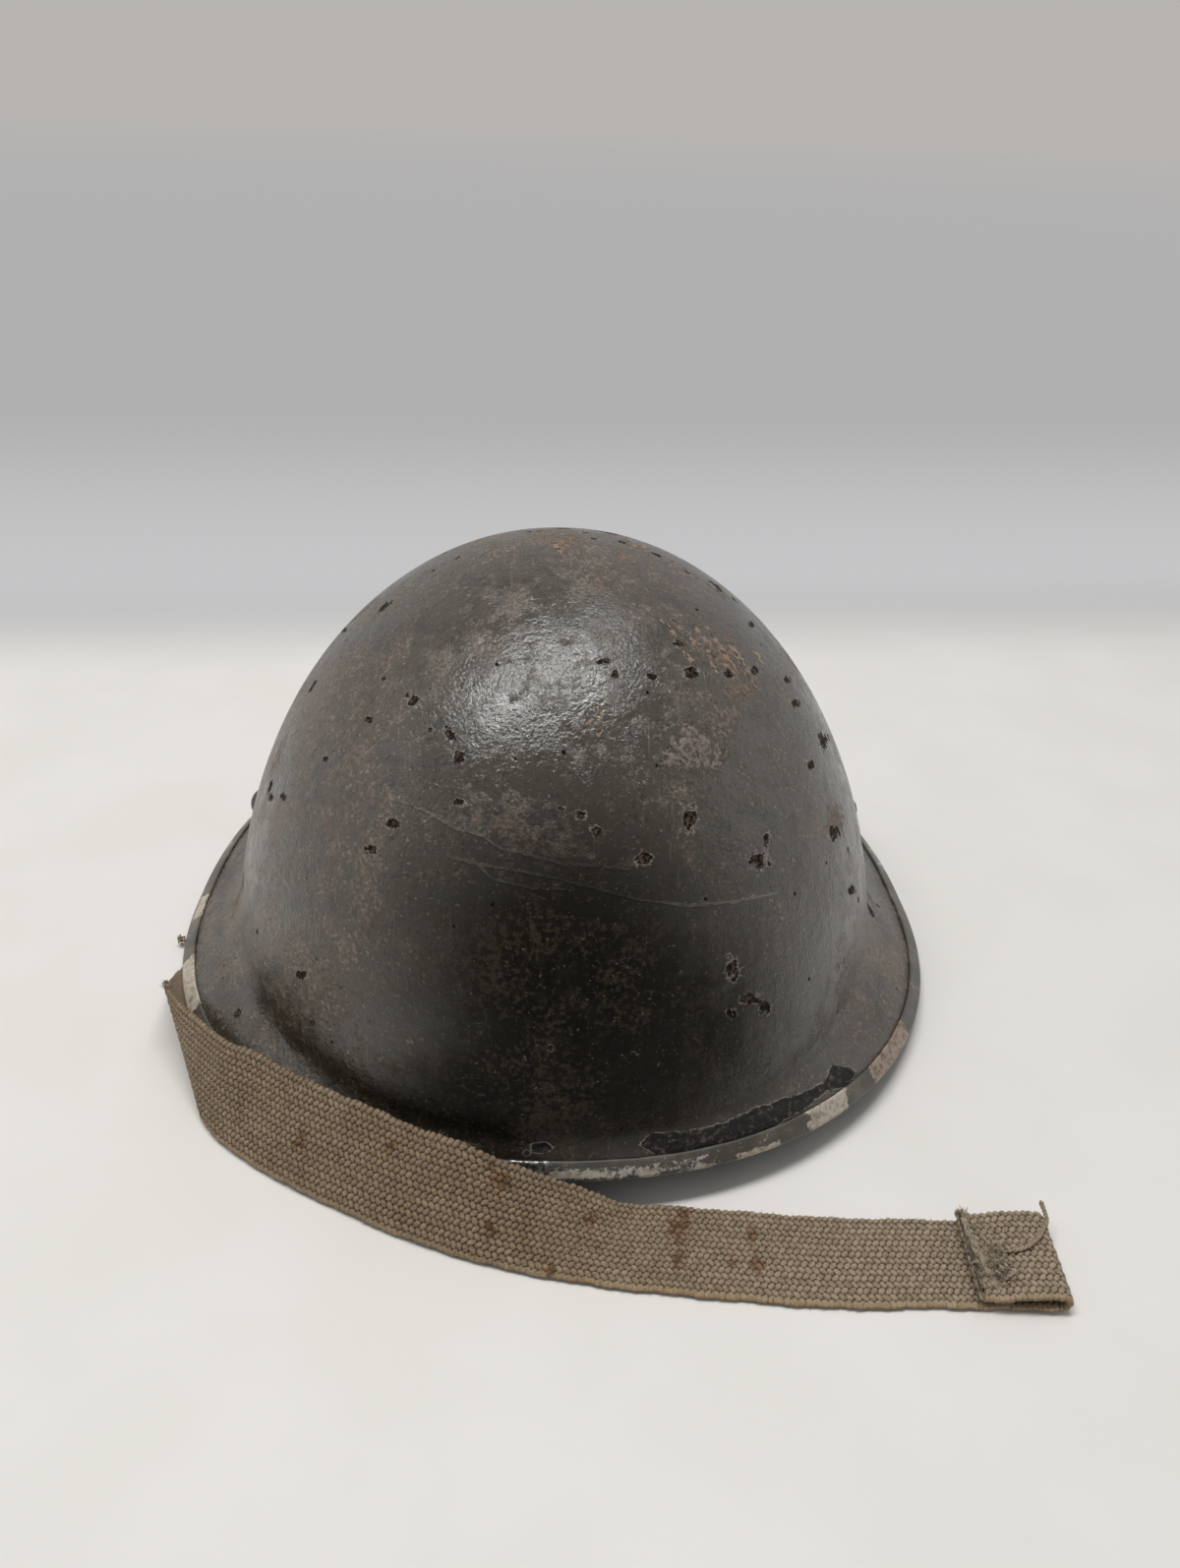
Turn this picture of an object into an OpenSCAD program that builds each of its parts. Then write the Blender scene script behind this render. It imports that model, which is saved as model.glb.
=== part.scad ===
// Pressed steel helmet with a domed crown, a flared brim, a snap-in liner and a webbing chinstrap.
// The origin is on the floor under the middle of the brim. +Z is up, -Y is the helmet's front
// and +X is its right as it is seen from the front.

/* [Brim] */
// Width over the shell's edge, side to side
brim_width = 245.4; // [236:0.2:256]
// Reach of the shell's edge forward of the origin
brim_front = 136.1; // [134:0.1:146]
// Reach of the shell's edge behind the origin
brim_rear = 142.3; // [138:0.1:152]
// Squareness of the brim's plan, where 2 is an ellipse
brim_power = 2.19; // [2.05:0.01:2.35]
// Height that the front of the brim arches up off the floor
front_arch = 8.9; // [8:0.1:12]
// How sharply the front arch rises
front_arch_power = 1.06; // [1:0.01:1.3]
// Height that the rear of the brim arches up off the floor
rear_arch = 5; // [2:0.1:8]
// Length of the level stretch behind the origin that the helmet stands on
level_length = 60; // [40:1:80]
// Height of the flare above the edge at the sides
flare_side = 25; // [20:0.5:28]
// Height of the flare above the edge at the front
flare_front = 11; // [9:0.5:16]
// Height of the flare above the edge at the rear
flare_rear = 20; // [15:0.5:25]
// Slope of the brim's edge below level at the sides
slope_side = 38; // [32:1:45]
// Slope of the brim's edge below level at the front
slope_front = 72; // [60:1:78]
// Slope of the brim's edge below level at the rear
slope_rear = 50; // [42:1:60]

/* [Dome] */
// Ledge from the dome's foot out to the brim's edge at the sides
ledge_side = 19.1; // [17:0.1:21.5]
// Ledge from the dome's foot out to the brim's edge at the front
ledge_front = 3.1; // [2.2:0.1:6]
// Ledge from the dome's foot out to the brim's edge at the rear
ledge_rear = 23; // [17:0.1:25]
// Squareness of the dome's plan
dome_power = 2.14; // [2.05:0.01:2.35]
// Height of the crown over the floor
crown_height = 139; // [136:0.5:150]
// Distance of the crown forward of the origin
crown_forward = 23.7; // [18:0.1:28]
// Fullness of the dome's shoulders
dome_fullness = 1.78; // [1.74:0.01:1.95]
// Steepness of the front wall
front_steepness = 1.98; // [1.85:0.01:2.1]
// Steepness of the rear wall
rear_steepness = 1.87; // [1.8:0.01:2.1]
// Thickness of the pressed steel
shell_wall = 1.2; // [1:0.1:1.5]

/* [Rim binding] */
// Depth of the folded strip, from its lip to the shell's edge
binding_depth = 5; // [4:0.1:6]
// Thickness of the folded strip
binding_wall = 0.7; // [0.5:0.05:0.9]

/* [Chinstrap fastenings] */
// Height of the rivets over the floor
rivet_height = 41; // [39:0.5:44]
// Diameter of the rivets' shanks
rivet_shank = 4; // [3.5:0.1:4.5]
// Diameter of the rivets' domed heads
rivet_head = 8.8; // [8:0.1:10]
// Height of the rivets' domed heads
rivet_dome = 2.3; // [1.8:0.1:2.8]
// Width of the lug plates
lug_width = 20; // [17:0.5:21]
// Thickness of the lug plates
lug_plate = 1.2; // [1:0.1:1.5]
// Distance from the rivet down to the hinge wire
lug_reach = 12.5; // [11.5:0.1:13.5]
// Diameter of the loops' wire
wire = 3; // [2.6:0.1:3.2]
// Drop of the loops from the hinge wire to the strap bar
loop_drop = 15; // [14:0.1:15.5]

/* [Chinstrap] */
// Width of the webbing
strap_width = 26; // [24:0.2:27]
// Thickness of the webbing
strap_thickness = 1.8; // [1.5:0.1:2]
// Length of the sewn end, from its start to its nose
strap_end_length = 31; // [28:0.5:36]
// Length of the loop in the sewn end, from its seam to its nose
strap_end_loop = 19; // [16:0.5:22]
// Height of the slit inside the sewn end
strap_end_slit = 1.7; // [1.2:0.1:2.4]

/* [Liner] */
// Room for the buffers between the liner band and the shell's wall at the sides
room_side = 8.5; // [7:0.1:12]
// Room between the liner band and the shell's wall at the front
room_front = 7.1; // [6:0.1:10]
// Room between the liner band and the shell's wall at the rear
room_rear = 7.6; // [6.5:0.1:10.5]
// Squareness of the head oval
head_power = 2.15; // [2:0.01:2.3]
// Height of the band's lower edge over the floor
band_bottom = 32; // [31:0.5:36]
// Height of the band
band_height = 34; // [30:0.5:38]
// Thickness of the band
band_wall = 1.4; // [1:0.1:1.8]
// Thickness of the sweatband
sweatband_wall = 1.6; // [1.2:0.1:2]
// Height of the sweatband's turned-up edge outside the band
sweatband_turn = 7; // [5:0.5:9]
// Width of the crown bands
crown_band_width = 24; // [20:0.5:26]
// Thickness of the crown bands
crown_band_wall = 1.5; // [1.2:0.1:1.8]
// Depth of the crown pad below the bands
pad_depth = 7; // [5:0.5:9]
// Reach of the crown pad's arms from its middle
pad_reach = 34; // [28:1:38]
// Width of a buffer
buffer_width = 26; // [22:0.5:28]
// Height of a buffer
buffer_height = 24; // [20:0.5:26]

/* [Crown stud] */
// Diameter of the stud that the liner snaps on to
stud = 6; // [5:0.1:7]
// Length of the stud's pin below the top of its socket
stud_length = 4.5; // [3.5:0.1:6]
// Diameter of the stud's rivet end
stud_rivet = 5.6; // [4.5:0.1:6]
// Diameter of the socket plate
socket_width = 20; // [18:0.5:23]

/* [Clearances] */
// Gap between the shell and the strip folded over its edge
binding_gap = 0.06; // [0.05:0.01:0.15]
// Radial gap round a rivet's shank
rivet_gap = 0.05; // [0.03:0.01:0.1]
// Radial gap of the wire loops in their barrels
hinge_gap = 0.08; // [0.05:0.01:0.1]
// Radial gap of the socket on its stud
stud_gap = 0.06; // [0.04:0.01:0.1]
// Gap between the shell's round crown and the stud's flange set on it
seat_gap = 0.7; // [0.6:0.05:0.9]
// Gap between the shell's curved wall and the middle of a flat lug plate set on it
lug_gap = 0.95; // [0.9:0.05:1.2]
// Gap between neighbouring layers of the liner
layer_gap = 0.1; // [0.05:0.05:0.2]
// Gap between a buffer and the shell
buffer_gap = 0.4; // [0.3:0.05:0.8]
// Gap between the webbing and the wire that it is sewn round
webbing_gap = 0.25; // [0.15:0.05:0.35]
// Gap between the webbing and the floor
floor_gap = 0.05; // [0:0.05:0.1]

/* [Hidden] */
$fn = 48;

paint = [0.27, 0.26, 0.23];
binding_paint = [0.36, 0.35, 0.31];
steel = [0.42, 0.40, 0.37];
webbing = [0.55, 0.47, 0.38];
leathercloth = [0.16, 0.13, 0.11];
fibre = [0.22, 0.17, 0.13];
rubber = [0.10, 0.10, 0.10];
brass = [0.66, 0.52, 0.27];

dome_width = brim_width - 2 * ledge_side;
dome_front = brim_front - ledge_front;
dome_rear = brim_rear - ledge_rear;
columns = 64;
dome_rows = 13;
flare_rows = 6;
last_row = dome_rows + flare_rows + 1;
// height of the level at which the dome's curve would stand upright
dome_foot_height = 7.4;
// shares of the flare's chord that its curve's two handles take
flare_handle_top = 0.45;
flare_handle_edge = 0.4;
flat = 0.001;

function unit(v) = v / norm(v);
function power_radius(p, side, end, power) =
    pow(pow(abs(cos(p)) / side, power) + pow(abs(sin(p)) / end, power), -1 / power);
// value that runs from its side size to its front or rear size with the square of the sine
function round_brim(p, side, front, rear) =
    let (share = sin(p) * sin(p)) side * (1 - share) + (sin(p) < 0 ? front : rear) * share;

// brim's edge
function brim_radius(p) =
    power_radius(p, brim_width / 2, sin(p) < 0 ? brim_front : brim_rear, brim_power);
function brim_arch(p) =
    let (y = brim_radius(p) * sin(p))
    y < 0 ? front_arch * pow(-y / brim_front, front_arch_power)
          : rear_arch * pow(max(0, y - level_length) / (brim_rear - level_length), 2);
function brim_slope(p) = round_brim(p, slope_side, slope_front, slope_rear);

// U section of the binding: distance up the flare from the edge, distance out of the shell
function binding_section() =
    let (over = binding_gap, under = -shell_wall - binding_gap, lip = binding_depth)
    [
        [lip, over], [lip, over + binding_wall], [0.8, over + binding_wall + 0.05],
        [-0.4, over + 0.4], [-0.9, (over + under) / 2], [-0.4, under - 0.4],
        [0.8, under - binding_wall - 0.05], [lip, under - binding_wall],
        [lip, under], [-binding_gap, under], [-binding_gap, over]
    ];
// the edge stands as high as the binding reaches below it, so that the binding meets the floor
edge_height = -min([
    for (q = binding_section()) q[0] * sin(slope_side) + q[1] * cos(slope_side)
]);

// dome: a point at turn p round the plan and at t, which runs from 0 at the crown to 90 at its foot
function steepness(p) = let (s = (1 + sin(p)) / 2) front_steepness * (1 - s) + rear_steepness * s;
// the crown is round, and the fullness sets in down the shoulders
function dome_spread(t) = pow(sin(t), 2 / (2 + (dome_fullness - 2) * pow(sin(t), 0.6)));
function dome_point(p, t) =
    let (
        spread = dome_spread(t),
        radius = spread * power_radius(
            p, dome_width / 2, sin(p) < 0 ? dome_front : dome_rear, dome_power),
        rise = pow(cos(t), 2 / steepness(p))
    )
    [
        radius * cos(p),
        radius * sin(p) - crown_forward * (1 - spread * spread),
        dome_foot_height + (crown_height - dome_foot_height) * rise
    ];
function turn_at_height(p, z) =
    acos(pow((z - dome_foot_height) / (crown_height - dome_foot_height), steepness(p) / 2));

function edge_point(p) =
    [brim_radius(p) * cos(p), brim_radius(p) * sin(p), edge_height + brim_arch(p)];
function edge_direction(p) =
    let (a = brim_slope(p)) [cos(a) * cos(p), cos(a) * sin(p), -sin(a)];
function flare_top(p) =
    edge_height + brim_arch(p) + round_brim(p, flare_side, flare_front, flare_rear);

function bezier(a, b, c, d, u) =
    pow(1 - u, 3) * a + 3 * u * pow(1 - u, 2) * b + 3 * u * u * (1 - u) * c + pow(u, 3) * d;
function flare_points(p, t) =
    let (
        top = dome_point(p, t),
        top_direction = unit(top - dome_point(p, t - 1)),
        lip = edge_point(p) - edge_direction(p) * binding_depth,
        chord = norm(lip - top),
        handle_top = top + top_direction * chord * flare_handle_top,
        handle_edge = lip - edge_direction(p) * chord * flare_handle_edge
    )
    [for (k = [1:flare_rows]) bezier(top, handle_top, handle_edge, lip, k / flare_rows)];
function column_points(p) =
    let (t = turn_at_height(p, flare_top(p)))
    concat(
        [for (k = [0:dome_rows]) dome_point(p, t * k / dome_rows)],
        flare_points(p, t),
        [edge_point(p)]
    );

outer_skin = [for (i = [0:columns - 1]) column_points(360 * i / columns)];
function skin_normal(i, j) =
    j == 0 ? [0, 0, 1] :
    let (
        next = outer_skin[(i + 1) % columns][j],
        previous = outer_skin[(i + columns - 1) % columns][j],
        below = outer_skin[i][j >= last_row - 1 ? last_row : j + 1],
        above = outer_skin[i][j >= last_row - 1 ? last_row - 1 : j - 1]
    )
    unit(cross(below - above, next - previous));
normals = [for (i = [0:columns - 1]) [for (j = [0:last_row]) skin_normal(i, j)]];
inner_skin = [
    for (i = [0:columns - 1])
        [for (j = [0:last_row]) outer_skin[i][j] - shell_wall * normals[i][j]]
];

// shell mesh: each skin is its crown point, then its rows of columns
skin_size = 1 + columns * last_row;
function skin_points(skin) = concat(
    [skin[0][0]],
    [for (j = [1:last_row]) for (i = [0:columns - 1]) skin[i][j]]
);
function skin_index(i, j) = j == 0 ? 0 : 1 + (j - 1) * columns + i % columns;
function skin_faces() = [
    for (i = [0:columns - 1], j = [0:last_row - 1])
        let (
            a = skin_index(i, j), b = skin_index(i + 1, j),
            c = skin_index(i + 1, j + 1), d = skin_index(i, j + 1)
        )
        each (j == 0 ? [[a, c, d]] : [[a, b, c], [a, c, d]])
];
function edge_faces() = [
    for (i = [0:columns - 1])
        let (
            a = skin_index(i, last_row), b = skin_index(i + 1, last_row),
            c = b + skin_size, d = a + skin_size
        )
        each [[a, b, c], [a, c, d]]
];
module shell_bowl() {
    inward = [for (f = skin_faces()) [f[0] + skin_size, f[2] + skin_size, f[1] + skin_size]];
    polyhedron(
        concat(skin_points(outer_skin), skin_points(inner_skin)),
        concat(skin_faces(), inward, edge_faces())
    );
}

// faces of a closed tube of rings, all of the same number of corners
function tube_faces(rings, corners) = [
    for (k = [0:rings - 1], j = [0:corners - 1])
        let (
            a = k * corners + (j + 1) % corners, b = k * corners + j,
            c = (k + 1) % rings * corners + j, d = (k + 1) % rings * corners + (j + 1) % corners
        )
        each [[a, b, c], [a, c, d]]
];

// places on the wall at the sides, where the chinstrap's fastenings are riveted
wall_turn = turn_at_height(0, rivet_height);
wall_point = dome_point(0, wall_turn);
wall_run = dome_point(0, wall_turn + 1) - dome_point(0, wall_turn - 1);
wall_lean = atan2(wall_run[0], -wall_run[2]);
barrel_wall = 1.5;
barrel_radius = wire / 2 + barrel_wall;
barrel_depth = shell_wall + lug_gap + barrel_radius;
hinge = [
    wall_point[0] + lug_reach * sin(wall_lean) - barrel_depth * cos(wall_lean),
    wall_point[1],
    wall_point[2] - lug_reach * cos(wall_lean) - barrel_depth * sin(wall_lean)
];
// plate's reach above the rivet
lug_above = 6.5;
// length of the tools that cut the rivets' holes, centred on the wall
wall_cut = 16;
// wire frame's centre line, with room beside the webbing
strap_play = 1.2;
loop_half_width = strap_width / 2 + strap_play + wire / 2;
loop_corner = 4;
loop_top_half = loop_half_width - loop_corner;

// frame on the right wall: Z out of the shell, X down the wall
module on_right_wall() {
    translate(wall_point) rotate([0, 90 - wall_lean, 0]) children();
}
module on_side(side) {
    mirror([side < 0 ? 1 : 0, 0, 0]) children();
}

// chinstrap's route. Each station is the turn round the brim and the distance outside the brim's
// edge of the lower edge of the webbing, its height over the floor gap, then the plan heading
// and tilt of the line to the upper edge, and that line's length as a share of the strap's width
hang_stations = [
    [189.8, -23.9, 1.9, 95.6, 1.7, 1.02],
    [196.2, -22.9, 0.7, 114.9, 1.1, 1.19],
    [203.3, -23.1, 0.2, 127, 0.3, 1.28]
];
run_stations = [
    [210.9, -19.7, 0, 138.8, 0.3, 1.28],
    [216.9, -10.5, 0, 130.6, 1, 1.47],
    [220.9, -2, 0, 123.7, 5, 1.59],
    [225, 5.8, 0, 118.6, 15.5, 1.65],
    [227.2, 10.2, 0, 116, 25.8, 1.69],
    [228.3, 11.2, 0, 113, 33.7, 1.4],
    [229.4, 11.5, 0, 101, 46.4, 1.12],
    [230.8, 11.7, 0, 79, 58.6, 1.01],
    [233.6, 11.7, 0, 65.5, 57, 1.04],
    [240.4, 11.2, 0, 69, 56.5, 1.05],
    [247.2, 11.6, 0, 65.8, 56.8, 1.05],
    [254, 14.1, 0, 62, 55.2, 1.03],
    [259.2, 16.5, 0, 67.4, 54.6, 1.02],
    [262, 18.1, 0, 65.5, 52.4, 0.96],
    [264.5, 19.5, 0, 65.6, 43.5, 0.91],
    [269, 22.1, 0, 73.3, 27.5, 0.88],
    [274.4, 25.4, 0, 81.4, 10, 0.88],
    [279.5, 29, 0, 85, 2.8, 0.98],
    [284.4, 33.7, 0, 83.3, 0.5, 1.02],
    [291.8, 43.6, 0, 83.5, 0.5, 1.02],
    [298.7, 54.8, 0, 87, 0, 1]
];
steps = 4;
half_strap = strap_thickness / 2;

function lower_edge(s) =
    let (r = brim_radius(s[0]) + s[1])
    [r * cos(s[0]), r * sin(s[0]), floor_gap + half_strap + s[2]];
function upper_edge(s) =
    lower_edge(s) + strap_width * s[5] * [
        cos(s[4]) * cos(s[3]), cos(s[4]) * sin(s[3]), sin(s[4])
    ];
function station_lines(stations) = [for (s = stations) [lower_edge(s), upper_edge(s)]];

// wire loop's bar on the left, where the webbing starts, and the sewn fold's lower end
bar = [-hinge[0], hinge[1], hinge[2] - loop_drop];
fold_radius = wire / 2 + webbing_gap + strap_thickness;
// room for the seam that closes the fold below the bar
fold_seam = 2.5;
fold_length = fold_radius + fold_seam;
fold_line = [
    bar + [0, -strap_width / 2, -fold_length],
    bar + [0, strap_width / 2, -fold_length]
];

hang_lines = concat([fold_line], station_lines(hang_stations));
run_lines = concat([hang_lines[len(hang_lines) - 1]], station_lines(run_stations));

function smooth(a, b, c, d, u) =
    0.5 * (2 * b + (c - a) * u + (2 * a - 5 * b + 4 * c - d) * u * u
        + (3 * b - a - 3 * c + d) * pow(u, 3));
function smooth_lines(lines) =
    let (last = len(lines) - 1)
    concat(
        [
            for (k = [0:last - 1], n = [0:steps - 1])
                let (a = lines[max(0, k - 1)], b = lines[k], c = lines[k + 1],
                    d = lines[min(last, k + 2)], u = n / steps)
                [smooth(a[0], b[0], c[0], d[0], u), smooth(a[1], b[1], c[1], d[1], u)]
        ],
        [lines[last]]
    );
function line_normal(lines, k) =
    let (
        after = lines[min(len(lines) - 1, k + 1)],
        before = lines[max(0, k - 1)],
        along = after[0] + after[1] - before[0] - before[1]
    )
    unit(cross(along, lines[k][1] - lines[k][0]));
function end_normal(lines, k, first, last) =
    k == 0 && first != undef ? first : k == len(lines) - 1 && last != undef ? last
        : line_normal(lines, k);
// faces of the ribbon's sides. Both of its wide sides are split along the same diagonals, so that
// it stays as thick where it twists
function ribbon_faces(rings) = [
    for (k = [0:rings - 2], j = [0:3])
        let (
            a = 4 * k + (j + 1) % 4, b = 4 * k + j,
            c = 4 * (k + 1) + j, d = 4 * (k + 1) + (j + 1) % 4
        )
        each (j == 2 ? [[b, c, d], [b, d, a]] : [[a, b, c], [a, c, d]])
];
module ribbon(lines, first_normal, last_normal) {
    rings = [
        for (k = [0:len(lines) - 1])
            let (n = half_strap * end_normal(lines, k, first_normal, last_normal),
                low = lines[k][0], high = lines[k][1])
            [low - n, high - n, high + n, low + n]
    ];
    last = 4 * (len(lines) - 1);
    polyhedron(
        [for (ring = rings) each ring],
        concat(
            ribbon_faces(len(lines)),
            [[0, 1, 2], [0, 2, 3], [last, last + 3, last + 2], [last, last + 2, last + 1]]
        )
    );
}
hang_smooth = smooth_lines(hang_lines);
run_smooth = smooth_lines(run_lines);
// the webbing's inner face looks inwards at the fold, down where it lands, and up after its crease
fold_normal = [1, 0, 0];
cut_normal = [0, 0, -1];

// depth of the stud's peened end below the crown, so that it lies flush in the round crown
crown_flush = 0.15;
// liner levels, from the crown down
shell_crown = crown_height - shell_wall;
stud_flange = 1.2;
stud_flange_width = 14;
stud_neck = 2.6;
socket_height = 3;
socket_plate = 1;
socket_foot_width = 15;
socket_top_width = 12;
socket_top = shell_crown - seat_gap - stud_flange - stud_neck;
long_band_top = socket_top - socket_height - layer_gap;
// the long band droops by this much over the cross band's width
crossing_droop = 0.7;
cross_band_top = long_band_top - crown_band_wall - layer_gap - crossing_droop;
band_top = band_bottom + band_height;
// buffers' lower edge above the band's
buffer_above = 7;
buffer_bottom = band_bottom + buffer_above;
buffer_top = buffer_bottom + buffer_height;
// overlap of the crown bands' tails on the liner band
tail_length = 20;
tail_bottom = band_top - tail_length;

// layers outside the head oval
band_inner = sweatband_wall + layer_gap;
band_outer = band_inner + band_wall;
// share by which the leaning wall is thicker when measured level
wall_slant = 1.25;
// head oval: what the sweatband, band and buffers leave of the shell at the buffers' top
function room_at(p, room) =
    let (q = dome_point(p, turn_at_height(p, buffer_top)))
    norm([q[0], q[1]]) - shell_wall * wall_slant - room - band_outer;
head_reach_front = room_at(270, room_front);
head_reach_rear = room_at(90, room_rear);
head_width = 2 * (dome_point(0, turn_at_height(0, buffer_top))[0]
    - shell_wall * wall_slant - room_side - band_outer);
head_length = head_reach_front + head_reach_rear;
head_forward = (head_reach_front - head_reach_rear) / 2;
function oval(grow) = [
    for (p = [0:6:354])
        let (r = power_radius(p, head_width / 2 + grow, head_length / 2 + grow, head_power))
        [r * cos(p), r * sin(p) - head_forward]
];
module oval_wall(inside, outside, bottom, height) {
    translate([0, 0, bottom]) linear_extrude(height) difference() {
        polygon(oval(outside));
        polygon(oval(inside));
    }
}
module oval_block(grow) {
    linear_extrude(crown_height) polygon(oval(grow));
}
function oval_half_width_at(y, grow) =
    let (share = pow(abs(y + head_forward) / (head_length / 2 + grow), head_power))
    (head_width / 2 + grow) * pow(1 - share, 1 / head_power);

// crown band's path in its own upright plane: from one tail over the crown to the other. Each arm
// is the dome's own profile, drawn in to the band's reach and down to its top
arm_steps = 10;
function profile(p, t) = let (q = dome_point(p, t)) [norm([q[0], q[1] + crown_forward]), q[2]];
function arm(turn, reach, top, sign) =
    let (last = turn_at_height(turn, band_top), end = profile(turn, last))
    [
        for (k = [0:arm_steps])
            let (
                q = profile(turn, last * k / arm_steps),
                fall = (crown_height - q[1]) / (crown_height - end[1])
            )
            [sign * reach * q[0] / end[0], top - (top - band_top) * fall]
    ];
function reversed(list) = [for (k = [len(list) - 1:-1:0]) list[k]];
function band_path(turns, reaches, top) = concat(
    [[-reaches[0], tail_bottom]],
    reversed(arm(turns[0], reaches[0], top, -1)),
    [for (k = [1:arm_steps]) arm(turns[1], reaches[1], top, 1)[k]],
    [[reaches[1], tail_bottom]]
);
function path_normal(path, k) =
    let (along = path[min(len(path) - 1, k + 1)] - path[max(0, k - 1)])
    unit([-along[1], along[0]]);
function path_shift(path, d) = [for (k = [0:len(path) - 1]) path[k] + d * path_normal(path, k)];
function part_of(path, reach) = [for (q = path) if (abs(q[0]) <= reach) q];
module path_plate(path, over, under, width) {
    rotate([90, 0, 0]) translate([0, 0, -width / 2]) linear_extrude(width)
        polygon(concat(path_shift(path, over), reversed(path_shift(path, -under))));
}

long_half = head_length / 2 + band_outer + layer_gap;
long_reaches = [
    long_half + head_forward - crown_forward, long_half - head_forward + crown_forward
];
long_turns = [270, 90];
cross_reach = oval_half_width_at(-crown_forward + crown_band_width / 2, band_outer) + layer_gap;
cross_reaches = [cross_reach, cross_reach];
cross_turns = [180, 0];
long_path = band_path(long_turns, long_reaches, long_band_top - crown_band_wall);
cross_path = band_path(cross_turns, cross_reaches, cross_band_top - crown_band_wall);
tail_fill = 3;

module at_crown() {
    translate([0, -crown_forward, 0]) children();
}
stud_hole_play = 1.2;
module stud_hole() {
    cylinder(h = crown_height, d = stud + stud_hole_play);
}

// where the bands' tails are riveted
rivet_level = tail_bottom + tail_length / 3;
band_rivet = 3;
band_rivet_head = 6.5;
band_rivet_crown = 4.5;
band_rivet_dome = 0.9;
// countersunk inner end, flush in the band
band_rivet_sink = 0.7;
band_rivet_foot = band_rivet + 2 * band_rivet_sink;
// reach of the holes' cuts past the riveted layers
rivet_cut = 2;
module band_rivet_place(where) {
    if (where == "front")
        translate([0, -head_forward - head_length / 2, rivet_level]) rotate([90, 0, 0]) children();
    if (where == "rear")
        translate([0, head_length / 2 - head_forward, rivet_level]) rotate([-90, 0, 0]) children();
    if (where == "right")
        translate([cross_reach - band_outer - layer_gap, -crown_forward, rivet_level])
            rotate([0, 90, 0]) children();
    if (where == "left")
        mirror([1, 0, 0]) band_rivet_place("right") children();
}
rivet_places = ["front", "rear", "right", "left"];
rivet_inside = band_inner + layer_gap / 2;
rivet_outside = band_outer + layer_gap + crown_band_wall;
module band_rivet_holes() {
    for (where = rivet_places) band_rivet_place(where) {
        translate([0, 0, band_inner - rivet_cut]) cylinder(
            h = rivet_outside - band_inner + 2 * rivet_cut, d = band_rivet + 2 * rivet_gap);
        translate([0, 0, rivet_inside - 0.2]) cylinder(
            h = band_rivet_sink + 0.2 + rivet_gap,
            d1 = band_rivet_foot + 4 * rivet_gap + 0.4, d2 = band_rivet + 2 * rivet_gap);
    }
}
module rivet_shape() {
    translate([0, 0, rivet_inside])
        cylinder(h = rivet_outside - rivet_inside + 0.5, d = band_rivet);
    translate([0, 0, rivet_outside + 0.05])
        cylinder(h = band_rivet_dome, d1 = band_rivet_head, d2 = band_rivet_crown);
    translate([0, 0, rivet_inside])
        cylinder(h = band_rivet_sink, d1 = band_rivet_foot, d2 = band_rivet);
}

// buffers: turn round the head oval, and the shell's inside face there at the buffer's top
buffer_turns = [
    ["side_right", 24], ["side_left", 156], ["rear_right", 66], ["rear_left", 114],
    ["front_left", 240], ["front_right", 300]
];
buffer_corner = 4;
// diameter and spacing of a buffer's three holes, as shares of its depth and its width
buffer_hole = 0.42;
buffer_hole_spacing = 0.295;
buffer_skin = 0.6;
shell_at_top = [
    for (p = [0:3:357]) let (q = dome_point(p, turn_at_height(p, buffer_top))) [q[0], q[1]]
];
// distance from a point out along a heading to a closed outline
function reach_to(outline, from, heading) = min([
    for (k = [0:len(outline) - 1])
        let (
            a = outline[k] - from, b = outline[(k + 1) % len(outline)] - from,
            h = [cos(heading), sin(heading)],
            side_a = h[0] * a[1] - h[1] * a[0],
            side_b = h[0] * b[1] - h[1] * b[0],
            hit = a + (b - a) * (side_a / (side_a - side_b))
        )
        if (side_a * side_b <= 0 && side_a != side_b && hit * h > 0) hit * h
]);
function buffer_start(p) =
    let (r = power_radius(p, head_width / 2 + band_outer, head_length / 2 + band_outer, head_power))
    [r * cos(p), r * sin(p) - head_forward];
function buffer_heading(p) =
    let (q = buffer_start(p + 3) - buffer_start(p - 3)) atan2(-q[0], q[1]);
function buffer_depth(p) =
    let (
        h = buffer_heading(p), start = buffer_start(p),
        across = [-sin(h), cos(h)] * (buffer_width / 2 - buffer_corner)
    )
    min([for (s = [-1, 0, 1]) reach_to(shell_at_top, start + s * across, h)])
        - shell_wall * wall_slant - buffer_gap;
module rounded_block(depth, width, corner) {
    translate([-tail_fill, -width / 2]) square([depth + tail_fill - corner, width]);
    translate([-tail_fill, corner - width / 2]) square([depth + tail_fill, width - 2 * corner]);
    for (s = [-1, 1]) translate([depth - corner, s * (width / 2 - corner)]) circle(corner);
}
module buffer(p) {
    depth = buffer_depth(p);
    start = buffer_start(p);
    color(rubber) difference() {
        translate([start[0], start[1], buffer_bottom]) rotate([0, 0, buffer_heading(p)])
            linear_extrude(buffer_height) difference() {
                rounded_block(depth, buffer_width, buffer_corner);
                for (s = [-1, 0, 1])
                    translate([depth / 2 + buffer_skin, s * buffer_width * buffer_hole_spacing])
                        circle(d = depth * buffer_hole);
            }
        oval_block(band_outer + layer_gap);
    }
}
function turn_of(name) = [for (b = buffer_turns) if (b[0] == name) b[1]][0];

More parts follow.
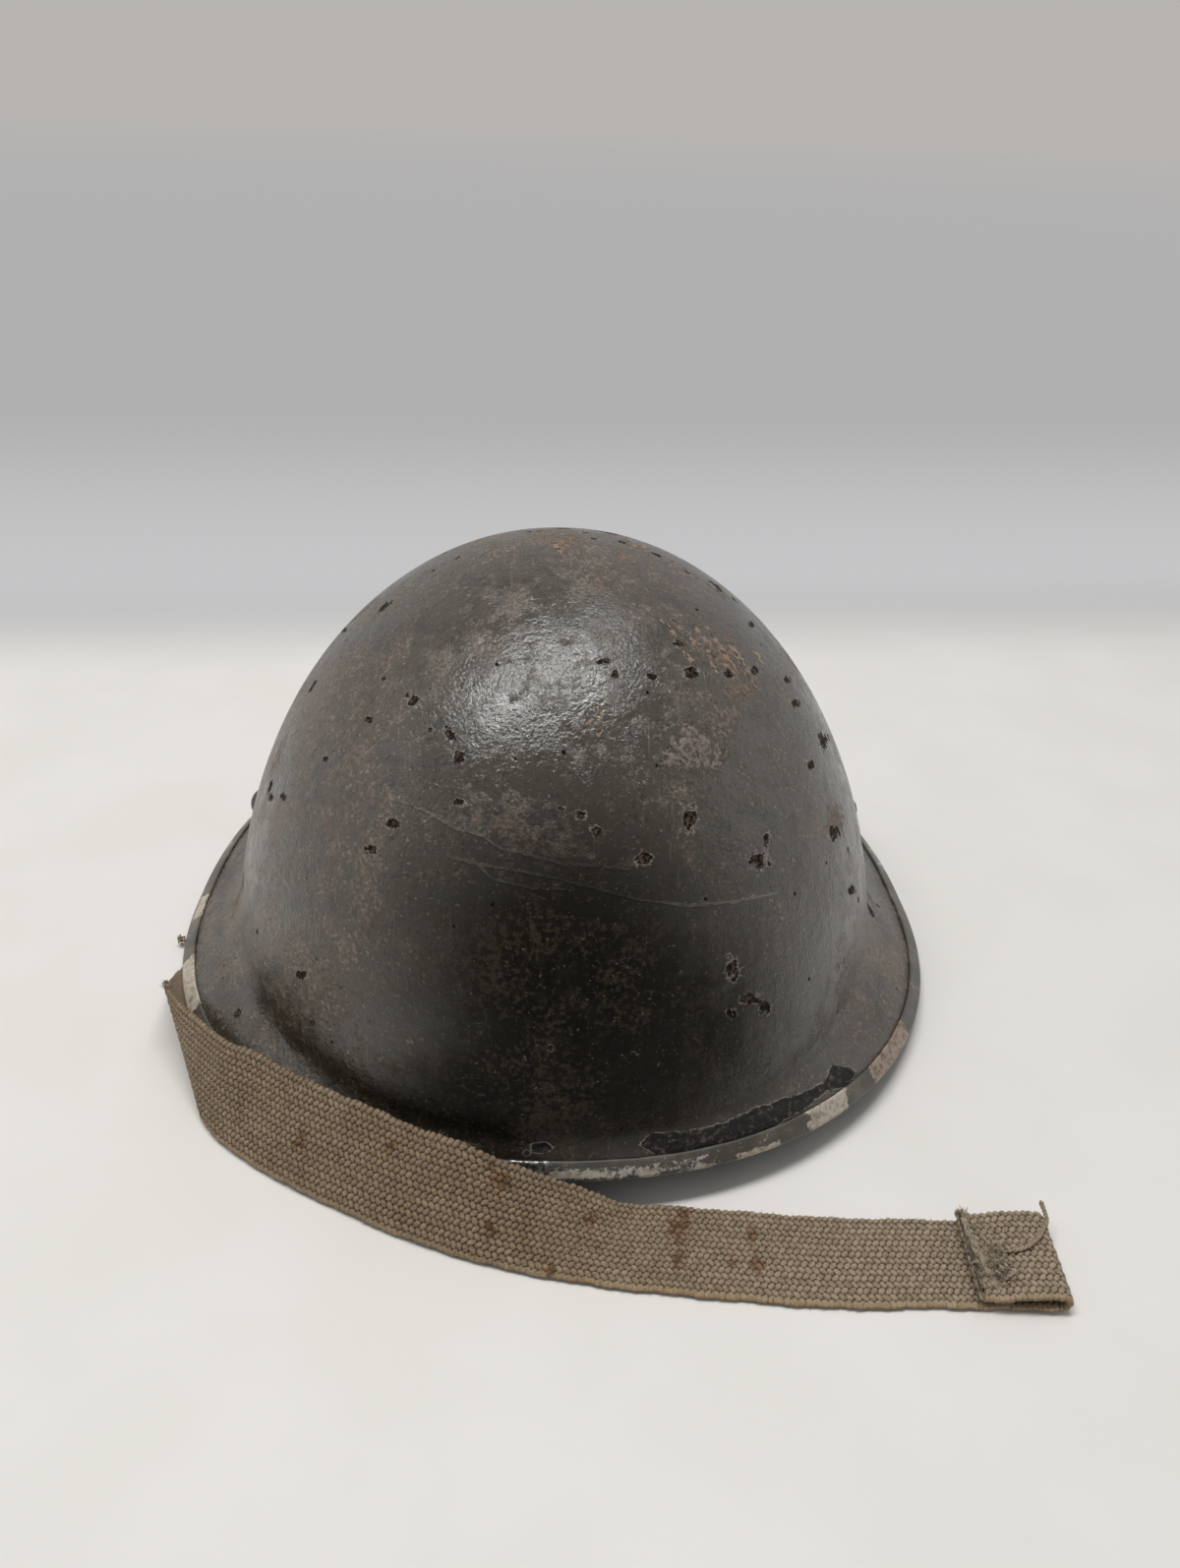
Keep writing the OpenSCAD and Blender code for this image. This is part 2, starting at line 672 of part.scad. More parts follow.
module shell() {
    color(paint) difference() {
        shell_bowl();
        for (side = [-1, 1])
            on_side(side) on_right_wall()
                cylinder(h = wall_cut, d = rivet_shank + 2 * rivet_gap, center = true);
        at_crown() translate([0, 0, crown_height])
            cylinder(h = wall_cut, d = stud_rivet + 2 * rivet_gap, center = true);
    }
}

module rim_binding() {
    section = binding_section();
    points = [
        for (i = [0:columns - 1], q = section)
            let (p = 360 * i / columns)
            edge_point(p) - q[0] * edge_direction(p) + q[1] * normals[i][last_row]
    ];
    color(binding_paint) polyhedron(points, tube_faces(columns, len(section)));
}

// curve of the rivets' heads, as a share of their diameter, and their closed ends
rivet_curve = 0.62;
rivet_end = 1.25;
rivet_end_width = 7;
rivet_end_taper = 1.5;
module lug_rivet(side) {
    seat = shell_wall + lug_gap + lug_plate;
    color(paint) on_side(side) on_right_wall() {
        translate([0, 0, 0.02]) intersection() {
            cylinder(h = rivet_dome, d = rivet_head);
            translate([0, 0, rivet_dome - rivet_head * rivet_curve])
                sphere(r = rivet_head * rivet_curve);
        }
        translate([0, 0, -seat - 0.1]) cylinder(h = seat + 0.3, d = rivet_shank);
        translate([0, 0, -seat - rivet_end - 0.05])
            cylinder(h = rivet_end, d1 = rivet_end_width - rivet_end_taper, d2 = rivet_end_width);
    }
}

module lug(side) {
    color(steel) on_side(side) on_right_wall() difference() {
        union() {
            translate([-lug_above, -lug_width / 2, -shell_wall - lug_gap - lug_plate])
                cube([lug_above + lug_reach, lug_width, lug_plate]);
            translate([lug_reach, lug_width / 2, -barrel_depth])
                rotate([90, 0, 0]) cylinder(h = lug_width, r = barrel_radius);
        }
        translate([lug_reach, lug_width, -barrel_depth])
            rotate([90, 0, 0]) cylinder(h = 2 * lug_width, d = wire + 2 * hinge_gap);
        cylinder(h = wall_cut, d = rivet_shank + 2 * rivet_gap, center = true);
    }
}

module wire_loop(side) {
    color(steel) on_side(side) translate(hinge) {
        for (z = [0, -loop_drop])
            translate([0, loop_top_half, z]) rotate([90, 0, 0])
                cylinder(h = 2 * loop_top_half, d = wire);
        for (s = [-1, 1]) {
            translate([0, s * loop_half_width, loop_corner - loop_drop])
                cylinder(h = loop_drop - 2 * loop_corner, d = wire);
            for (top = [0, 1])
                translate([0, s * loop_top_half, top ? -loop_corner : loop_corner - loop_drop])
                    rotate([90, 0, 90]) mirror([s < 0 ? 1 : 0, 0, 0])
                        mirror([0, top ? 0 : 1, 0]) rotate_extrude(angle = 90)
                            translate([loop_corner, 0]) circle(d = wire);
        }
    }
}

module chinstrap_fold() {
    color(webbing) translate(bar) rotate([90, 0, 0]) difference() {
        translate([0, 0, -strap_width / 2]) union() {
            cylinder(h = strap_width, r = fold_radius);
            translate([-strap_thickness, -fold_length, 0])
                cube([2 * strap_thickness, fold_length - webbing_gap, strap_width]);
        }
        cylinder(h = 2 * strap_width, d = wire + 2 * webbing_gap, center = true);
    }
}
module chinstrap_hang() {
    color(webbing) ribbon(hang_smooth, fold_normal, cut_normal);
}
module chinstrap_run() {
    color(webbing) ribbon(run_smooth, cut_normal, -cut_normal);
}
module chinstrap_end() {
    last = run_lines[len(run_lines) - 1];
    middle = (last[0] + last[1]) / 2;
    across = last[1] - last[0];
    nose = strap_thickness + strap_end_slit / 2;
    seam = strap_end_length - strap_end_loop;
    color(webbing) translate([middle[0], middle[1], floor_gap])
        rotate([90, 0, atan2(across[1], across[0]) - 90])
            translate([0, 0, -strap_width / 2]) linear_extrude(strap_width) difference() {
                union() {
                    square([strap_end_length - nose, strap_thickness]);
                    translate([seam, 0]) square([strap_end_loop - nose, 2 * nose]);
                    translate([strap_end_length - nose, nose]) circle(nose);
                    translate([seam, nose]) circle(nose);
                }
                translate([seam + 2 * strap_thickness, strap_thickness])
                    square([strap_end_loop - nose - 2 * strap_thickness, strap_end_slit]);
                translate([strap_end_length - nose, nose]) circle(strap_end_slit / 2);
            }
}

module crown_stud() {
    head = shell_crown - seat_gap;
    pin_end = socket_top - stud_length;
    color(steel) at_crown() {
        translate([0, 0, head - stud_flange]) cylinder(h = stud_flange, d = stud_flange_width);
        translate([0, 0, head - flat])
            cylinder(h = crown_height - crown_flush - head, d = stud_rivet);
        translate([0, 0, pin_end]) cylinder(h = head - stud_flange - pin_end + flat, d = stud);
    }
}

module crown_socket() {
    color(brass) at_crown() difference() {
        union() {
            translate([0, 0, socket_top - socket_height])
                cylinder(h = socket_plate, d = socket_width);
            translate([0, 0, socket_top - socket_height])
                cylinder(h = socket_height, d1 = socket_foot_width, d2 = socket_top_width);
        }
        translate([0, 0, socket_top - 2 * socket_height])
            cylinder(h = 3 * socket_height, d = stud + 2 * stud_gap);
    }
}

module crown_band_long() {
    color(fibre) difference() {
        at_crown() rotate([0, 0, 90]) path_plate(long_path, crown_band_wall, 0, crown_band_width);
        at_crown() stud_hole();
        band_rivet_holes();
    }
}
module crown_band_cross() {
    color(fibre) difference() {
        at_crown() path_plate(cross_path, crown_band_wall, 0, crown_band_width);
        at_crown() stud_hole();
        band_rivet_holes();
    }
}
module crown_pad() {
    under_long = 2 * crown_band_wall + crossing_droop + 2 * layer_gap;
    color(rubber) at_crown() difference() {
        union() {
            path_plate(part_of(cross_path, pad_reach), -layer_gap, pad_depth, crown_band_width);
            rotate([0, 0, 90]) path_plate(
                part_of(long_path, pad_reach), -under_long + crown_band_wall,
                under_long - crown_band_wall + pad_depth, crown_band_width);
        }
        path_plate(cross_path, crown_height, layer_gap, crown_band_width + 2 * layer_gap);
        stud_hole();
    }
}

module liner_band() {
    color(fibre) difference() {
        oval_wall(band_inner, band_outer, band_bottom, band_height);
        band_rivet_holes();
    }
}
module sweatband() {
    turn_inner = band_outer + layer_gap;
    color(leathercloth) {
        oval_wall(0, sweatband_wall, band_bottom - layer_gap, band_height);
        oval_wall(
            0, turn_inner + sweatband_wall,
            band_bottom - layer_gap - sweatband_wall, sweatband_wall);
        oval_wall(
            turn_inner, turn_inner + sweatband_wall,
            band_bottom - layer_gap, sweatband_turn - sweatband_wall);
    }
}
module band_rivets() {
    color(brass) for (where = rivet_places)
        band_rivet_place(where) rivet_shape();
}

shell();
rim_binding();
lug_rivet(-1);  // lug_rivet_left
lug_rivet(1);  // lug_rivet_right
lug(-1);  // lug_left
lug(1);  // lug_right
wire_loop(-1);  // wire_loop_left
wire_loop(1);  // wire_loop_right
chinstrap_fold();
chinstrap_hang();
chinstrap_run();
chinstrap_end();
crown_stud();
crown_socket();
crown_band_long();
crown_band_cross();
crown_pad();
liner_band();
sweatband();
band_rivets();
buffer(turn_of("front_left"));  // buffer_front_left
buffer(turn_of("front_right"));  // buffer_front_right
buffer(turn_of("side_left"));  // buffer_side_left
buffer(turn_of("side_right"));  // buffer_side_right
buffer(turn_of("rear_left"));  // buffer_rear_left
buffer(turn_of("rear_right"));  // buffer_rear_right
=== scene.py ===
import math

import bpy
import numpy as np
from mathutils import Matrix, Vector


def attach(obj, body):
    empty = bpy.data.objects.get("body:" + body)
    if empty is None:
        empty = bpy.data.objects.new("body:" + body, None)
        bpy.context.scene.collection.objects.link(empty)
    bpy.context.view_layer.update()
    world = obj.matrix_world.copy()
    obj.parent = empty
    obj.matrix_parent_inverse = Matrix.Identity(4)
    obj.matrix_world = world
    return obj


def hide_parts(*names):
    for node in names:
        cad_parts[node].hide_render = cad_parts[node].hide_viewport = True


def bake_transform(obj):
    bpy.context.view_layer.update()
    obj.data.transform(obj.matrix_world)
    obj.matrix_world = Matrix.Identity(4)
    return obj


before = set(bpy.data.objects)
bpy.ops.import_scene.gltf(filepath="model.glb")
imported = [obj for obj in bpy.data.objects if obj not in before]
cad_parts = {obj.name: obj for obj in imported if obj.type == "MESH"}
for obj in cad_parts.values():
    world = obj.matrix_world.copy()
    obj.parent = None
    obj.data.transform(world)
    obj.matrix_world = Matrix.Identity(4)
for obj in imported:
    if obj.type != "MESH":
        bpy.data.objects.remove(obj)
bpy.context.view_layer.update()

MM = 0.001
TURN = 2 * math.pi
rng = np.random.default_rng(1944)

# The camera. Pixels are those of the photograph, 1200 wide and 1594 high.
MIDDLE_X, MIDDLE_Y, PHOTO_HEIGHT, FOCAL = 600, 797, 1594, 1249.35
SENSOR = 36
EYE = np.array([-7.141, -356.888, 252.437])
VIEW_RIGHT = np.array([0.99872817, -0.05041863, 0.0])
VIEW_UP = np.array([0.0250262, 0.49573673, 0.8681122])
VIEW_IN = np.array([0.04376903, 0.86700811, -0.49636803])
ROLL = math.radians(-2.12)
CAM_X = math.cos(ROLL) * VIEW_RIGHT - math.sin(ROLL) * VIEW_UP
CAM_Y = math.sin(ROLL) * VIEW_RIGHT + math.cos(ROLL) * VIEW_UP


def to_pixels(points):
    """Where points in millimetres show in the photograph's frame."""
    d = np.asarray(points, float) - EYE
    depth = d @ VIEW_IN
    return np.stack([MIDDLE_X + FOCAL * (d @ CAM_X) / depth, MIDDLE_Y - FOCAL * (d @ CAM_Y) / depth], -1)


def on_level(px, py, z=0.0):
    """The point in millimetres at height z that shows at a pixel."""
    d = (px - MIDDLE_X) / FOCAL * CAM_X - (py - MIDDLE_Y) / FOCAL * CAM_Y + VIEW_IN
    return EYE + d * ((z - EYE[2]) / d[2])


camera_data = bpy.data.cameras.new("camera")
camera_data.sensor_width = SENSOR
camera_data.lens = FOCAL / PHOTO_HEIGHT * SENSOR
camera_data.clip_start = 0.02
camera_data.clip_end = 30
camera = bpy.data.objects.new("camera", camera_data)
columns = np.stack([CAM_X, CAM_Y, -VIEW_IN, EYE * MM], 1)
camera.matrix_world = Matrix((*columns.tolist(), (0, 0, 0, 1)))
scene = bpy.context.scene
scene.collection.objects.link(camera)
scene.camera = camera
scene.view_settings.view_transform = "Standard"


class Nodes:
    """The nodes of a material or of the world."""

    def __init__(self, owner):
        owner.use_nodes = True
        self.tree = owner.node_tree

    def put(self, value, socket):
        if isinstance(value, bpy.types.NodeSocket):
            self.tree.links.new(value, socket)
        elif isinstance(value, tuple) and socket.type == "RGBA":
            socket.default_value = (*value, 1)
        else:
            socket.default_value = value

    def node(self, kind, inputs=None, **settings):
        node = self.tree.nodes.new("ShaderNode" + kind)
        for name, value in settings.items():
            setattr(node, name, value)
        for name, value in (inputs or {}).items():
            self.put(value, node.inputs[name])
        return node

    def math(self, operation, a, b=0.0):
        return self.node("Math", {0: a, 1: b}, operation=operation).outputs[0]

    def most(self, a, b):
        return self.math("MAXIMUM", a, b)

    def seen_rays(self):
        """1 for a ray by which the camera sees a surface, directly, mirrored or through glass."""
        rays = self.node("LightPath").outputs
        return self.most(rays["Is Camera Ray"], self.most(rays["Is Glossy Ray"], rays["Is Transmission Ray"]))

    def mix_shaders(self, share, a, b):
        return self.node("MixShader", {0: share, 1: a.outputs[0], 2: b.outputs[0]})


class Shader(Nodes):
    """A material in object coordinates counted in millimetres."""

    def __init__(self, name):
        self.material = bpy.data.materials.new(name)
        super().__init__(self.material)
        self.bsdf = self.tree.nodes["Principled BSDF"]
        place = self.node("TexCoord").outputs["Object"]
        self.mm = self.node("VectorMath", {0: place, "Scale": 1 / MM}, operation="SCALE").outputs[0]

    def attribute(self, name, output="Fac"):
        return self.node("Attribute", attribute_name=name).outputs[output]

    def length(self, vector):
        return self.node("VectorMath", {0: vector}, operation="LENGTH").outputs["Value"]

    def stretch(self, factors, vector=None, turn=(0, 0, 0)):
        inputs = {"Vector": vector or self.mm, "Scale": factors, "Rotation": [math.radians(a) for a in turn]}
        return self.node("Mapping", inputs).outputs[0]

    def noise(self, size, detail=3.0, roughness=0.6, distortion=0.0, vector=None):
        inputs = {"Vector": vector or self.mm, "Scale": 1 / size, "Detail": detail}
        inputs.update(Roughness=roughness, Distortion=distortion)
        return self.node("TexNoise", inputs).outputs["Fac"]

    def cells(self, size, output="Distance", feature="F1"):
        inputs = {"Vector": self.mm, "Scale": 1 / size}
        return self.node("TexVoronoi", inputs, feature=feature).outputs[output]

    def add(self, a, b):
        return self.math("ADD", a, b)

    def times(self, a, b):
        return self.math("MULTIPLY", a, b)

    def ragged(self, field, noise, amount):
        """A field to which a noise, counted from its middle, is added by some amount."""
        return self.add(field, self.times(self.add(noise, -0.5), amount))

    def ragged_steps(self, field, noise, amount, low, high):
        return self.steps(self.ragged(field, noise, amount), low, high)

    def steps(self, value, low, high, start=0.0, end=1.0, smooth=True):
        inputs = {"Value": value, "From Min": low, "From Max": high, "To Min": start, "To Max": end}
        kind = "SMOOTHSTEP" if smooth else "LINEAR"
        return self.node("MapRange", inputs, interpolation_type=kind).outputs[0]

    def mix(self, share, a, b):
        return self.node("Mix", {"Factor": share, "A": a, "B": b}, data_type="RGBA").outputs["Result"]

    def tones(self, value, low, high, a, b):
        return self.mix(self.steps(value, low, high), a, b)

    def patch(self, name, noise, amount, low, high):
        """The share of a marked place, with ragged edges."""
        return self.ragged_steps(self.attribute(name), self.noise(*noise), amount, low, high)

    def blend(self, share, a, b):
        return self.node("Mix", {0: share, 2: a, 3: b}, data_type="FLOAT").outputs[0]

    def coats(self, color, *layers):
        """A colour with layers over it, each as its share, an amount and a colour."""
        for share, amount, tint in layers:
            color = self.mix(self.times(share, amount), color, tint)
        return color

    def pile(self, height, *layers):
        """A height with layers on it, each as its share and its height."""
        for share, amount in layers:
            height = self.add(height, self.times(share, amount))
        return height

    def settle(self, value, *layers):
        """A value that turns into others, each as its share and the value there."""
        for share, other in layers:
            value = self.blend(share, value, other)
        return value

    def bump(self, height, strength=1.0, depth=1.0):
        """depth is the relief in millimetres for a height of 1."""
        return self.node("Bump", {"Height": height, "Strength": strength, "Distance": depth * MM}).outputs[0]

    def finish(self, color, roughness, normal=None, **sockets):
        sockets.update(Base_Color=color, Roughness=roughness)
        if normal is not None:
            sockets["Normal"] = normal
        for name, value in sockets.items():
            self.put(value, self.bsdf.inputs[name.replace("_", " ")])
        return self.material


def quads_mesh(name, points, quads, material, caps=()):
    """A smooth mesh from an array of quads, quickly, with a few more faces as caps."""
    mesh = bpy.data.meshes.new(name)
    loops = list(np.asarray(quads).ravel())
    starts = list(range(0, 4 * len(quads), 4))
    sizes = [4] * len(quads)
    for cap in caps:
        starts.append(len(loops))
        sizes.append(len(cap))
        loops.extend(cap)
    for items, field, values, kind in (
        (mesh.vertices, "co", np.asarray(points, np.float32) * MM, np.float32),
        (mesh.loops, "vertex_index", loops, np.int32),
        (mesh.polygons, "loop_start", starts, np.int32),
    ):
        items.add(len(values))
        items.foreach_set(field, np.array(values, kind).ravel())
    mesh.polygons.foreach_set("loop_total", np.array(sizes, np.int32))
    mesh.polygons.foreach_set("use_smooth", np.ones(len(starts), bool))
    mesh.update(calc_edges=True)
    mesh.validate()
    for m in material if isinstance(material, list) else [material]:
        mesh.materials.append(m)
    obj = bpy.data.objects.new(name, mesh)
    scene.collection.objects.link(obj)
    return obj


def quads_between(a, b):
    """Quads between rows of vertex numbers that close on themselves."""
    return np.stack([a, b, np.roll(b, -1, -1), np.roll(a, -1, -1)], -1).reshape(-1, 4)


def grid_mesh(name, points, material, closed=False):
    """A quad mesh from a grid of points in millimetres, open or closed in both directions."""
    rows, columns = points.shape[:2]
    a = np.arange(rows * columns).reshape(rows, columns)
    b = np.roll(a, -1, 0)
    quads = np.stack([a, np.roll(a, -1, 1), np.roll(b, -1, 1), b], -1)
    if not closed:
        quads = quads[:-1, :-1]
    return quads_mesh(name, points.reshape(-1, 3), quads.reshape(-1, 4), material)


def set_attributes(obj, **fields):
    """Writes a value for each vertex, or three of them, under each name."""
    for name, values in fields.items():
        values = np.asarray(values, np.float32).ravel()
        single = len(values) == len(obj.data.vertices)
        kind, field = ("FLOAT", "value") if single else ("FLOAT_VECTOR", "vector")
        obj.data.attributes.new(name, kind, "POINT").data.foreach_set(field, values)


# The shell's shape, from the same sizes as part.scad
BRIM_HALF, BRIM_FRONT, BRIM_REAR, BRIM_POWER = 122.7, 136.1, 142.3, 2.19
FRONT_ARCH, FRONT_ARCH_POWER, REAR_ARCH, LEVEL_LENGTH = 8.9, 1.06, 5, 60
FLARE, SLOPE = (25, 11, 20), (38, 72, 50)
DOME_HALF, DOME_FRONT, DOME_REAR, DOME_POWER = 103.6, 133, 119.3, 2.14
CROWN, FORWARD, FULLNESS, FOOT = 139, 23.7, 1.78, 7.4
WALL, BINDING_DEPTH = 1.2, 5
TOP_HANDLE, LIP_HANDLE = 0.45, 0.4
DOME_STEPS, FLARE_STEPS = 400, 80
BINDING = np.array([
    (5, .06), (5, .76), (.8, .81), (-.4, .46), (-.9, -.6), (-.4, -1.66), (.8, -2.01),
    (5, -1.96), (5, -1.26), (-.06, -1.26), (-.06, .06),
])
BINDING_SLOPE = math.radians(38)
EDGE_HEIGHT = -min(q[0] * math.sin(BINDING_SLOPE) + q[1] * math.cos(BINDING_SLOPE) for q in BINDING)


def power_radius(p, side, end, power):
    return ((np.abs(np.cos(p)) / side) ** power + (np.abs(np.sin(p)) / end) ** power) ** (-1 / power)


def round_brim(p, sizes):
    share = np.sin(p) ** 2
    return sizes[0] * (1 - share) + np.where(np.sin(p) < 0, sizes[1], sizes[2]) * share


def brim_radius(p):
    return power_radius(p, BRIM_HALF, np.where(np.sin(p) < 0, BRIM_FRONT, BRIM_REAR), BRIM_POWER)


def brim_arch(p):
    y = brim_radius(p) * np.sin(p)
    front = FRONT_ARCH * (np.maximum(-y, 0) / BRIM_FRONT) ** FRONT_ARCH_POWER
    rear = REAR_ARCH * (np.maximum(0, y - LEVEL_LENGTH) / (BRIM_REAR - LEVEL_LENGTH)) ** 2
    return np.where(y < 0, front, rear)


def steepness(p):
    s = (1 + np.sin(p)) / 2
    return 1.98 * (1 - s) + 1.87 * s


def dome_point(p, t):
    spread = np.sin(t) ** (2 / (2 + (FULLNESS - 2) * np.sin(t) ** 0.6))
    radius = spread * power_radius(p, DOME_HALF, np.where(np.sin(p) < 0, DOME_FRONT, DOME_REAR), DOME_POWER)
    rise = np.cos(t) ** (2 / steepness(p))
    y = radius * np.sin(p) - FORWARD * (1 - spread ** 2)
    return np.stack([radius * np.cos(p), y, FOOT + (CROWN - FOOT) * rise], -1)


def turn_at_height(p, z):
    return np.arccos(((z - FOOT) / (CROWN - FOOT)) ** (steepness(p) / 2))


def edge_point(p):
    r = brim_radius(p)
    return np.stack([r * np.cos(p), r * np.sin(p), EDGE_HEIGHT + brim_arch(p)], -1)


def edge_direction(p):
    a = np.radians(round_brim(p, SLOPE))
    return np.stack([np.cos(a) * np.cos(p), np.cos(a) * np.sin(p), -np.sin(a)], -1)


def unit(v):
    return v / np.maximum(np.linalg.norm(v, axis=-1, keepdims=True), 1e-12)


def even_rows(points, count):
    """Columns of points (columns, rows, 3) again, with rows spaced evenly along each column."""
    length = np.concatenate([
        np.zeros((len(points), 1)), np.linalg.norm(np.diff(points, axis=1), axis=2).cumsum(1),
    ], 1)
    out = np.empty((len(points), count, 3))
    for i, (column, run) in enumerate(zip(points, length)):
        at = np.linspace(0, run[-1], count)
        for k in range(3):
            out[i, :, k] = np.interp(at, run, column[:, k])
    return out


def skin(columns, rows):
    """The shell's outer skin as (columns, rows, 3), from the crown to the edge."""
    p = np.arange(columns) / columns * TURN
    top_height = EDGE_HEIGHT + brim_arch(p) + round_brim(p, FLARE)
    t = turn_at_height(p, top_height)
    share = np.linspace(0, 1, DOME_STEPS)[None, :]
    dome = dome_point(p[:, None] + 0 * share, t[:, None] * share)
    top = dome_point(p, t)
    top_direction = unit(top - dome_point(p, t - math.radians(1)))
    down = edge_direction(p)
    lip = edge_point(p) - down * BINDING_DEPTH
    chord = np.linalg.norm(lip - top, axis=-1, keepdims=True)
    a, b = top + top_direction * chord * TOP_HANDLE, lip - down * chord * LIP_HANDLE
    u = np.linspace(0, 1, FLARE_STEPS)[1:, None, None]
    flare = (1 - u) ** 3 * top + 3 * u * (1 - u) ** 2 * a + 3 * u * u * (1 - u) * b + u ** 3 * lip
    whole = np.concatenate([dome, flare.transpose(1, 0, 2), edge_point(p)[:, None]], 1)
    return even_rows(whole, rows)


def skin_normals(points):
    """Outward normals of a skin, found from its neighbours."""
    around = np.roll(points, -1, 0) - np.roll(points, 1, 0)
    down = np.gradient(points, axis=1)
    n = unit(np.cross(down, around))
    n[:, 0] = (0, 0, 1)
    return n


COLUMNS, ROWS, INNER_ROWS = ((1100, 330, 60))
outer = skin(COLUMNS, ROWS)
outer_normals = skin_normals(outer)
inner_full = skin(COLUMNS, INNER_ROWS)
inner = inner_full - WALL * skin_normals(inner_full)


# Marks on the shell, at their places in the photograph
pixels = to_pixels(outer)
facing = -(unit(outer - EYE) * outer_normals).sum(-1)
SEEN_FROM, SIDE_FROM, CROWN_ROWS = 0.02, 0.25, 12
SEEN = facing > SEEN_FROM
FLAT_PLACES = outer.reshape(-1, 3)
# Places round the sides and the back, and how many marks of each kind they get
UNSEEN = np.flatnonzero((facing < SIDE_FROM).ravel() & (np.tile(np.arange(ROWS), COLUMNS) > CROWN_ROWS))
PIT_COUNT, RUST_COUNT, DUST_COUNT, ROUGH_COUNT = 90, 26, 14, 6
# A field's value far outside its marks
OUTSIDE = -9.0


def smooth(x):
    x = np.clip(x, 0, 1)
    return x * x * (3 - 2 * x)


def seen_only(field, rest=0.0):
    return np.where(SEEN, field, rest)


def blot(px, py, rx, ry, turn=0):
    """1 at the middle of an ellipse drawn in the photograph's pixels, 0 at its rim, below outside it."""
    a = math.radians(turn)
    dx, dy = pixels[..., 0] - px, pixels[..., 1] - py
    u, v = dx * math.cos(a) + dy * math.sin(a), -dx * math.sin(a) + dy * math.cos(a)
    return seen_only(1 - np.hypot(u / rx, v / ry), OUTSIDE)


def away_from(place, stretch=1.0):
    """Distance in millimetres from one of the skin's points."""
    return np.linalg.norm((outer - FLAT_PLACES[place]) * stretch, axis=-1)


def unseen_places(count):
    return rng.choice(UNSEEN, count, replace=False)


def distance_to_line(points, line):
    """Distance in pixels, or in millimetres, from points to a polyline."""
    best = np.full(points.shape[:-1], 1e9)
    for a, b in zip(line[:-1], line[1:]):
        a, b = np.array(a, float), np.array(b, float)
        ab = b - a
        t = np.clip(((points - a) @ ab) / (ab @ ab), 0, 1)
        best = np.minimum(best, np.linalg.norm(points - a - t[..., None] * ab, axis=-1))
    return best


def near_lines(lines, width):
    """1 on lines drawn in pixels, 0 at a width from them, and below farther out."""
    fields = [1 - distance_to_line(pixels, np.array(line, float)) / width for line in lines]
    return seen_only(np.max(fields, 0), OUTSIDE)


# Pits through the paint: place and half sizes in pixels, and a turn in degrees
PITS = [
    (375, 732, 5, 3), (420, 712, 6, 7), (458, 747, 5, 9, -25), (467, 771, 5, 6), (467, 816, 6, 4),
    (399, 838, 7, 6), (377, 864, 6, 5), (275, 810, 3, 4), (288, 810, 3, 4), (692, 655, 5, 4),
    (702, 684, 7, 6), (664, 689, 5, 4, 30), (626, 685, 4, 4), (609, 672, 4, 3), (617, 672, 3, 4),
    (741, 685, 4, 4), (767, 680, 4, 5), (764, 635, 4, 3), (801, 691, 4, 4), (810, 715, 5, 4),
    (837, 753, 4, 10, -15), (824, 777, 4, 5), (848, 846, 6, 8), (779, 852, 3, 8), (772, 875, 10, 9, 20),
    (702, 833, 7, 12, 20), (654, 873, 8, 6), (242, 1031, 4, 4), (307, 991, 5, 5), (350, 640, 3, 3),
    (591, 829, 5, 4), (607, 845, 6, 5), (571, 822, 4, 3), (745, 984, 7, 10), (437, 742, 3, 3),
    (560, 1066, 3, 3), (645, 1072, 4, 3), (390, 690, 3, 3), (331, 772, 3, 3), (730, 560, 3, 2),
    (763, 1016, 9, 6), (778, 1024, 6, 8, 30), (744, 1030, 5, 4), (318, 1040, 3, 3), (866, 905, 4, 6),
]
pit = np.full(outer.shape[:2], OUTSIDE)
for mark in PITS:
    pit = np.maximum(pit, blot(*mark))
for place in unseen_places(PIT_COUNT):
    radius = 0.9 + 2.6 * rng.random() ** 3
    pit = np.maximum(pit, 1 - away_from(place) / radius)

# Bare strip above the rim, where the paint has come off in one piece
STRIP = [
    (651, 1164), (662, 1153), (690, 1152), (716, 1148), (742, 1140), (766, 1128), (790, 1120),
    (816, 1112), (838, 1100), (846, 1088), (862, 1084), (870, 1090), (862, 1104), (842, 1108),
    (822, 1124), (800, 1138), (776, 1152), (748, 1162), (716, 1170), (690, 1173), (668, 1174),
]
STRIP_EDGE = 6
CHIPS = [(550, 1167, 11, 5), (536, 1172, 4, 3), (852, 1092, 9, 8)]


def inside_outline(points, outline):
    inside = np.zeros(points.shape[:-1], bool)
    x, y = points[..., 0], points[..., 1]
    for (x1, y1), (x2, y2) in zip(outline, outline[1:] + outline[:1]):
        crosses = (y1 > y) != (y2 > y)
        inside ^= crosses & (x < (x2 - x1) * (y - y1) / ((y2 - y1) or 1e-9) + x1)
    return inside


away = distance_to_line(pixels, STRIP + STRIP[:1])
strip = seen_only(np.clip(np.where(inside_outline(pixels, STRIP), away, -away) / STRIP_EDGE, -1, 1), -1.0)
for mark in CHIPS:
    strip = np.maximum(strip, np.clip(blot(*mark), -1, 1))

# Raised hairline cracks in the paint
CRACKS = [
    [(405, 813), (437, 827), (462, 842), (489, 849), (509, 863), (552, 873), (575, 879), (598, 880),
     (640, 884)],
    [(457, 872), (494, 880), (552, 890), (600, 902), (650, 915), (700, 921), (745, 917), (790, 908)],
    [(480, 873), (500, 893), (540, 903), (585, 905)],
]
crack = np.maximum(near_lines(CRACKS, 3.8), 0)

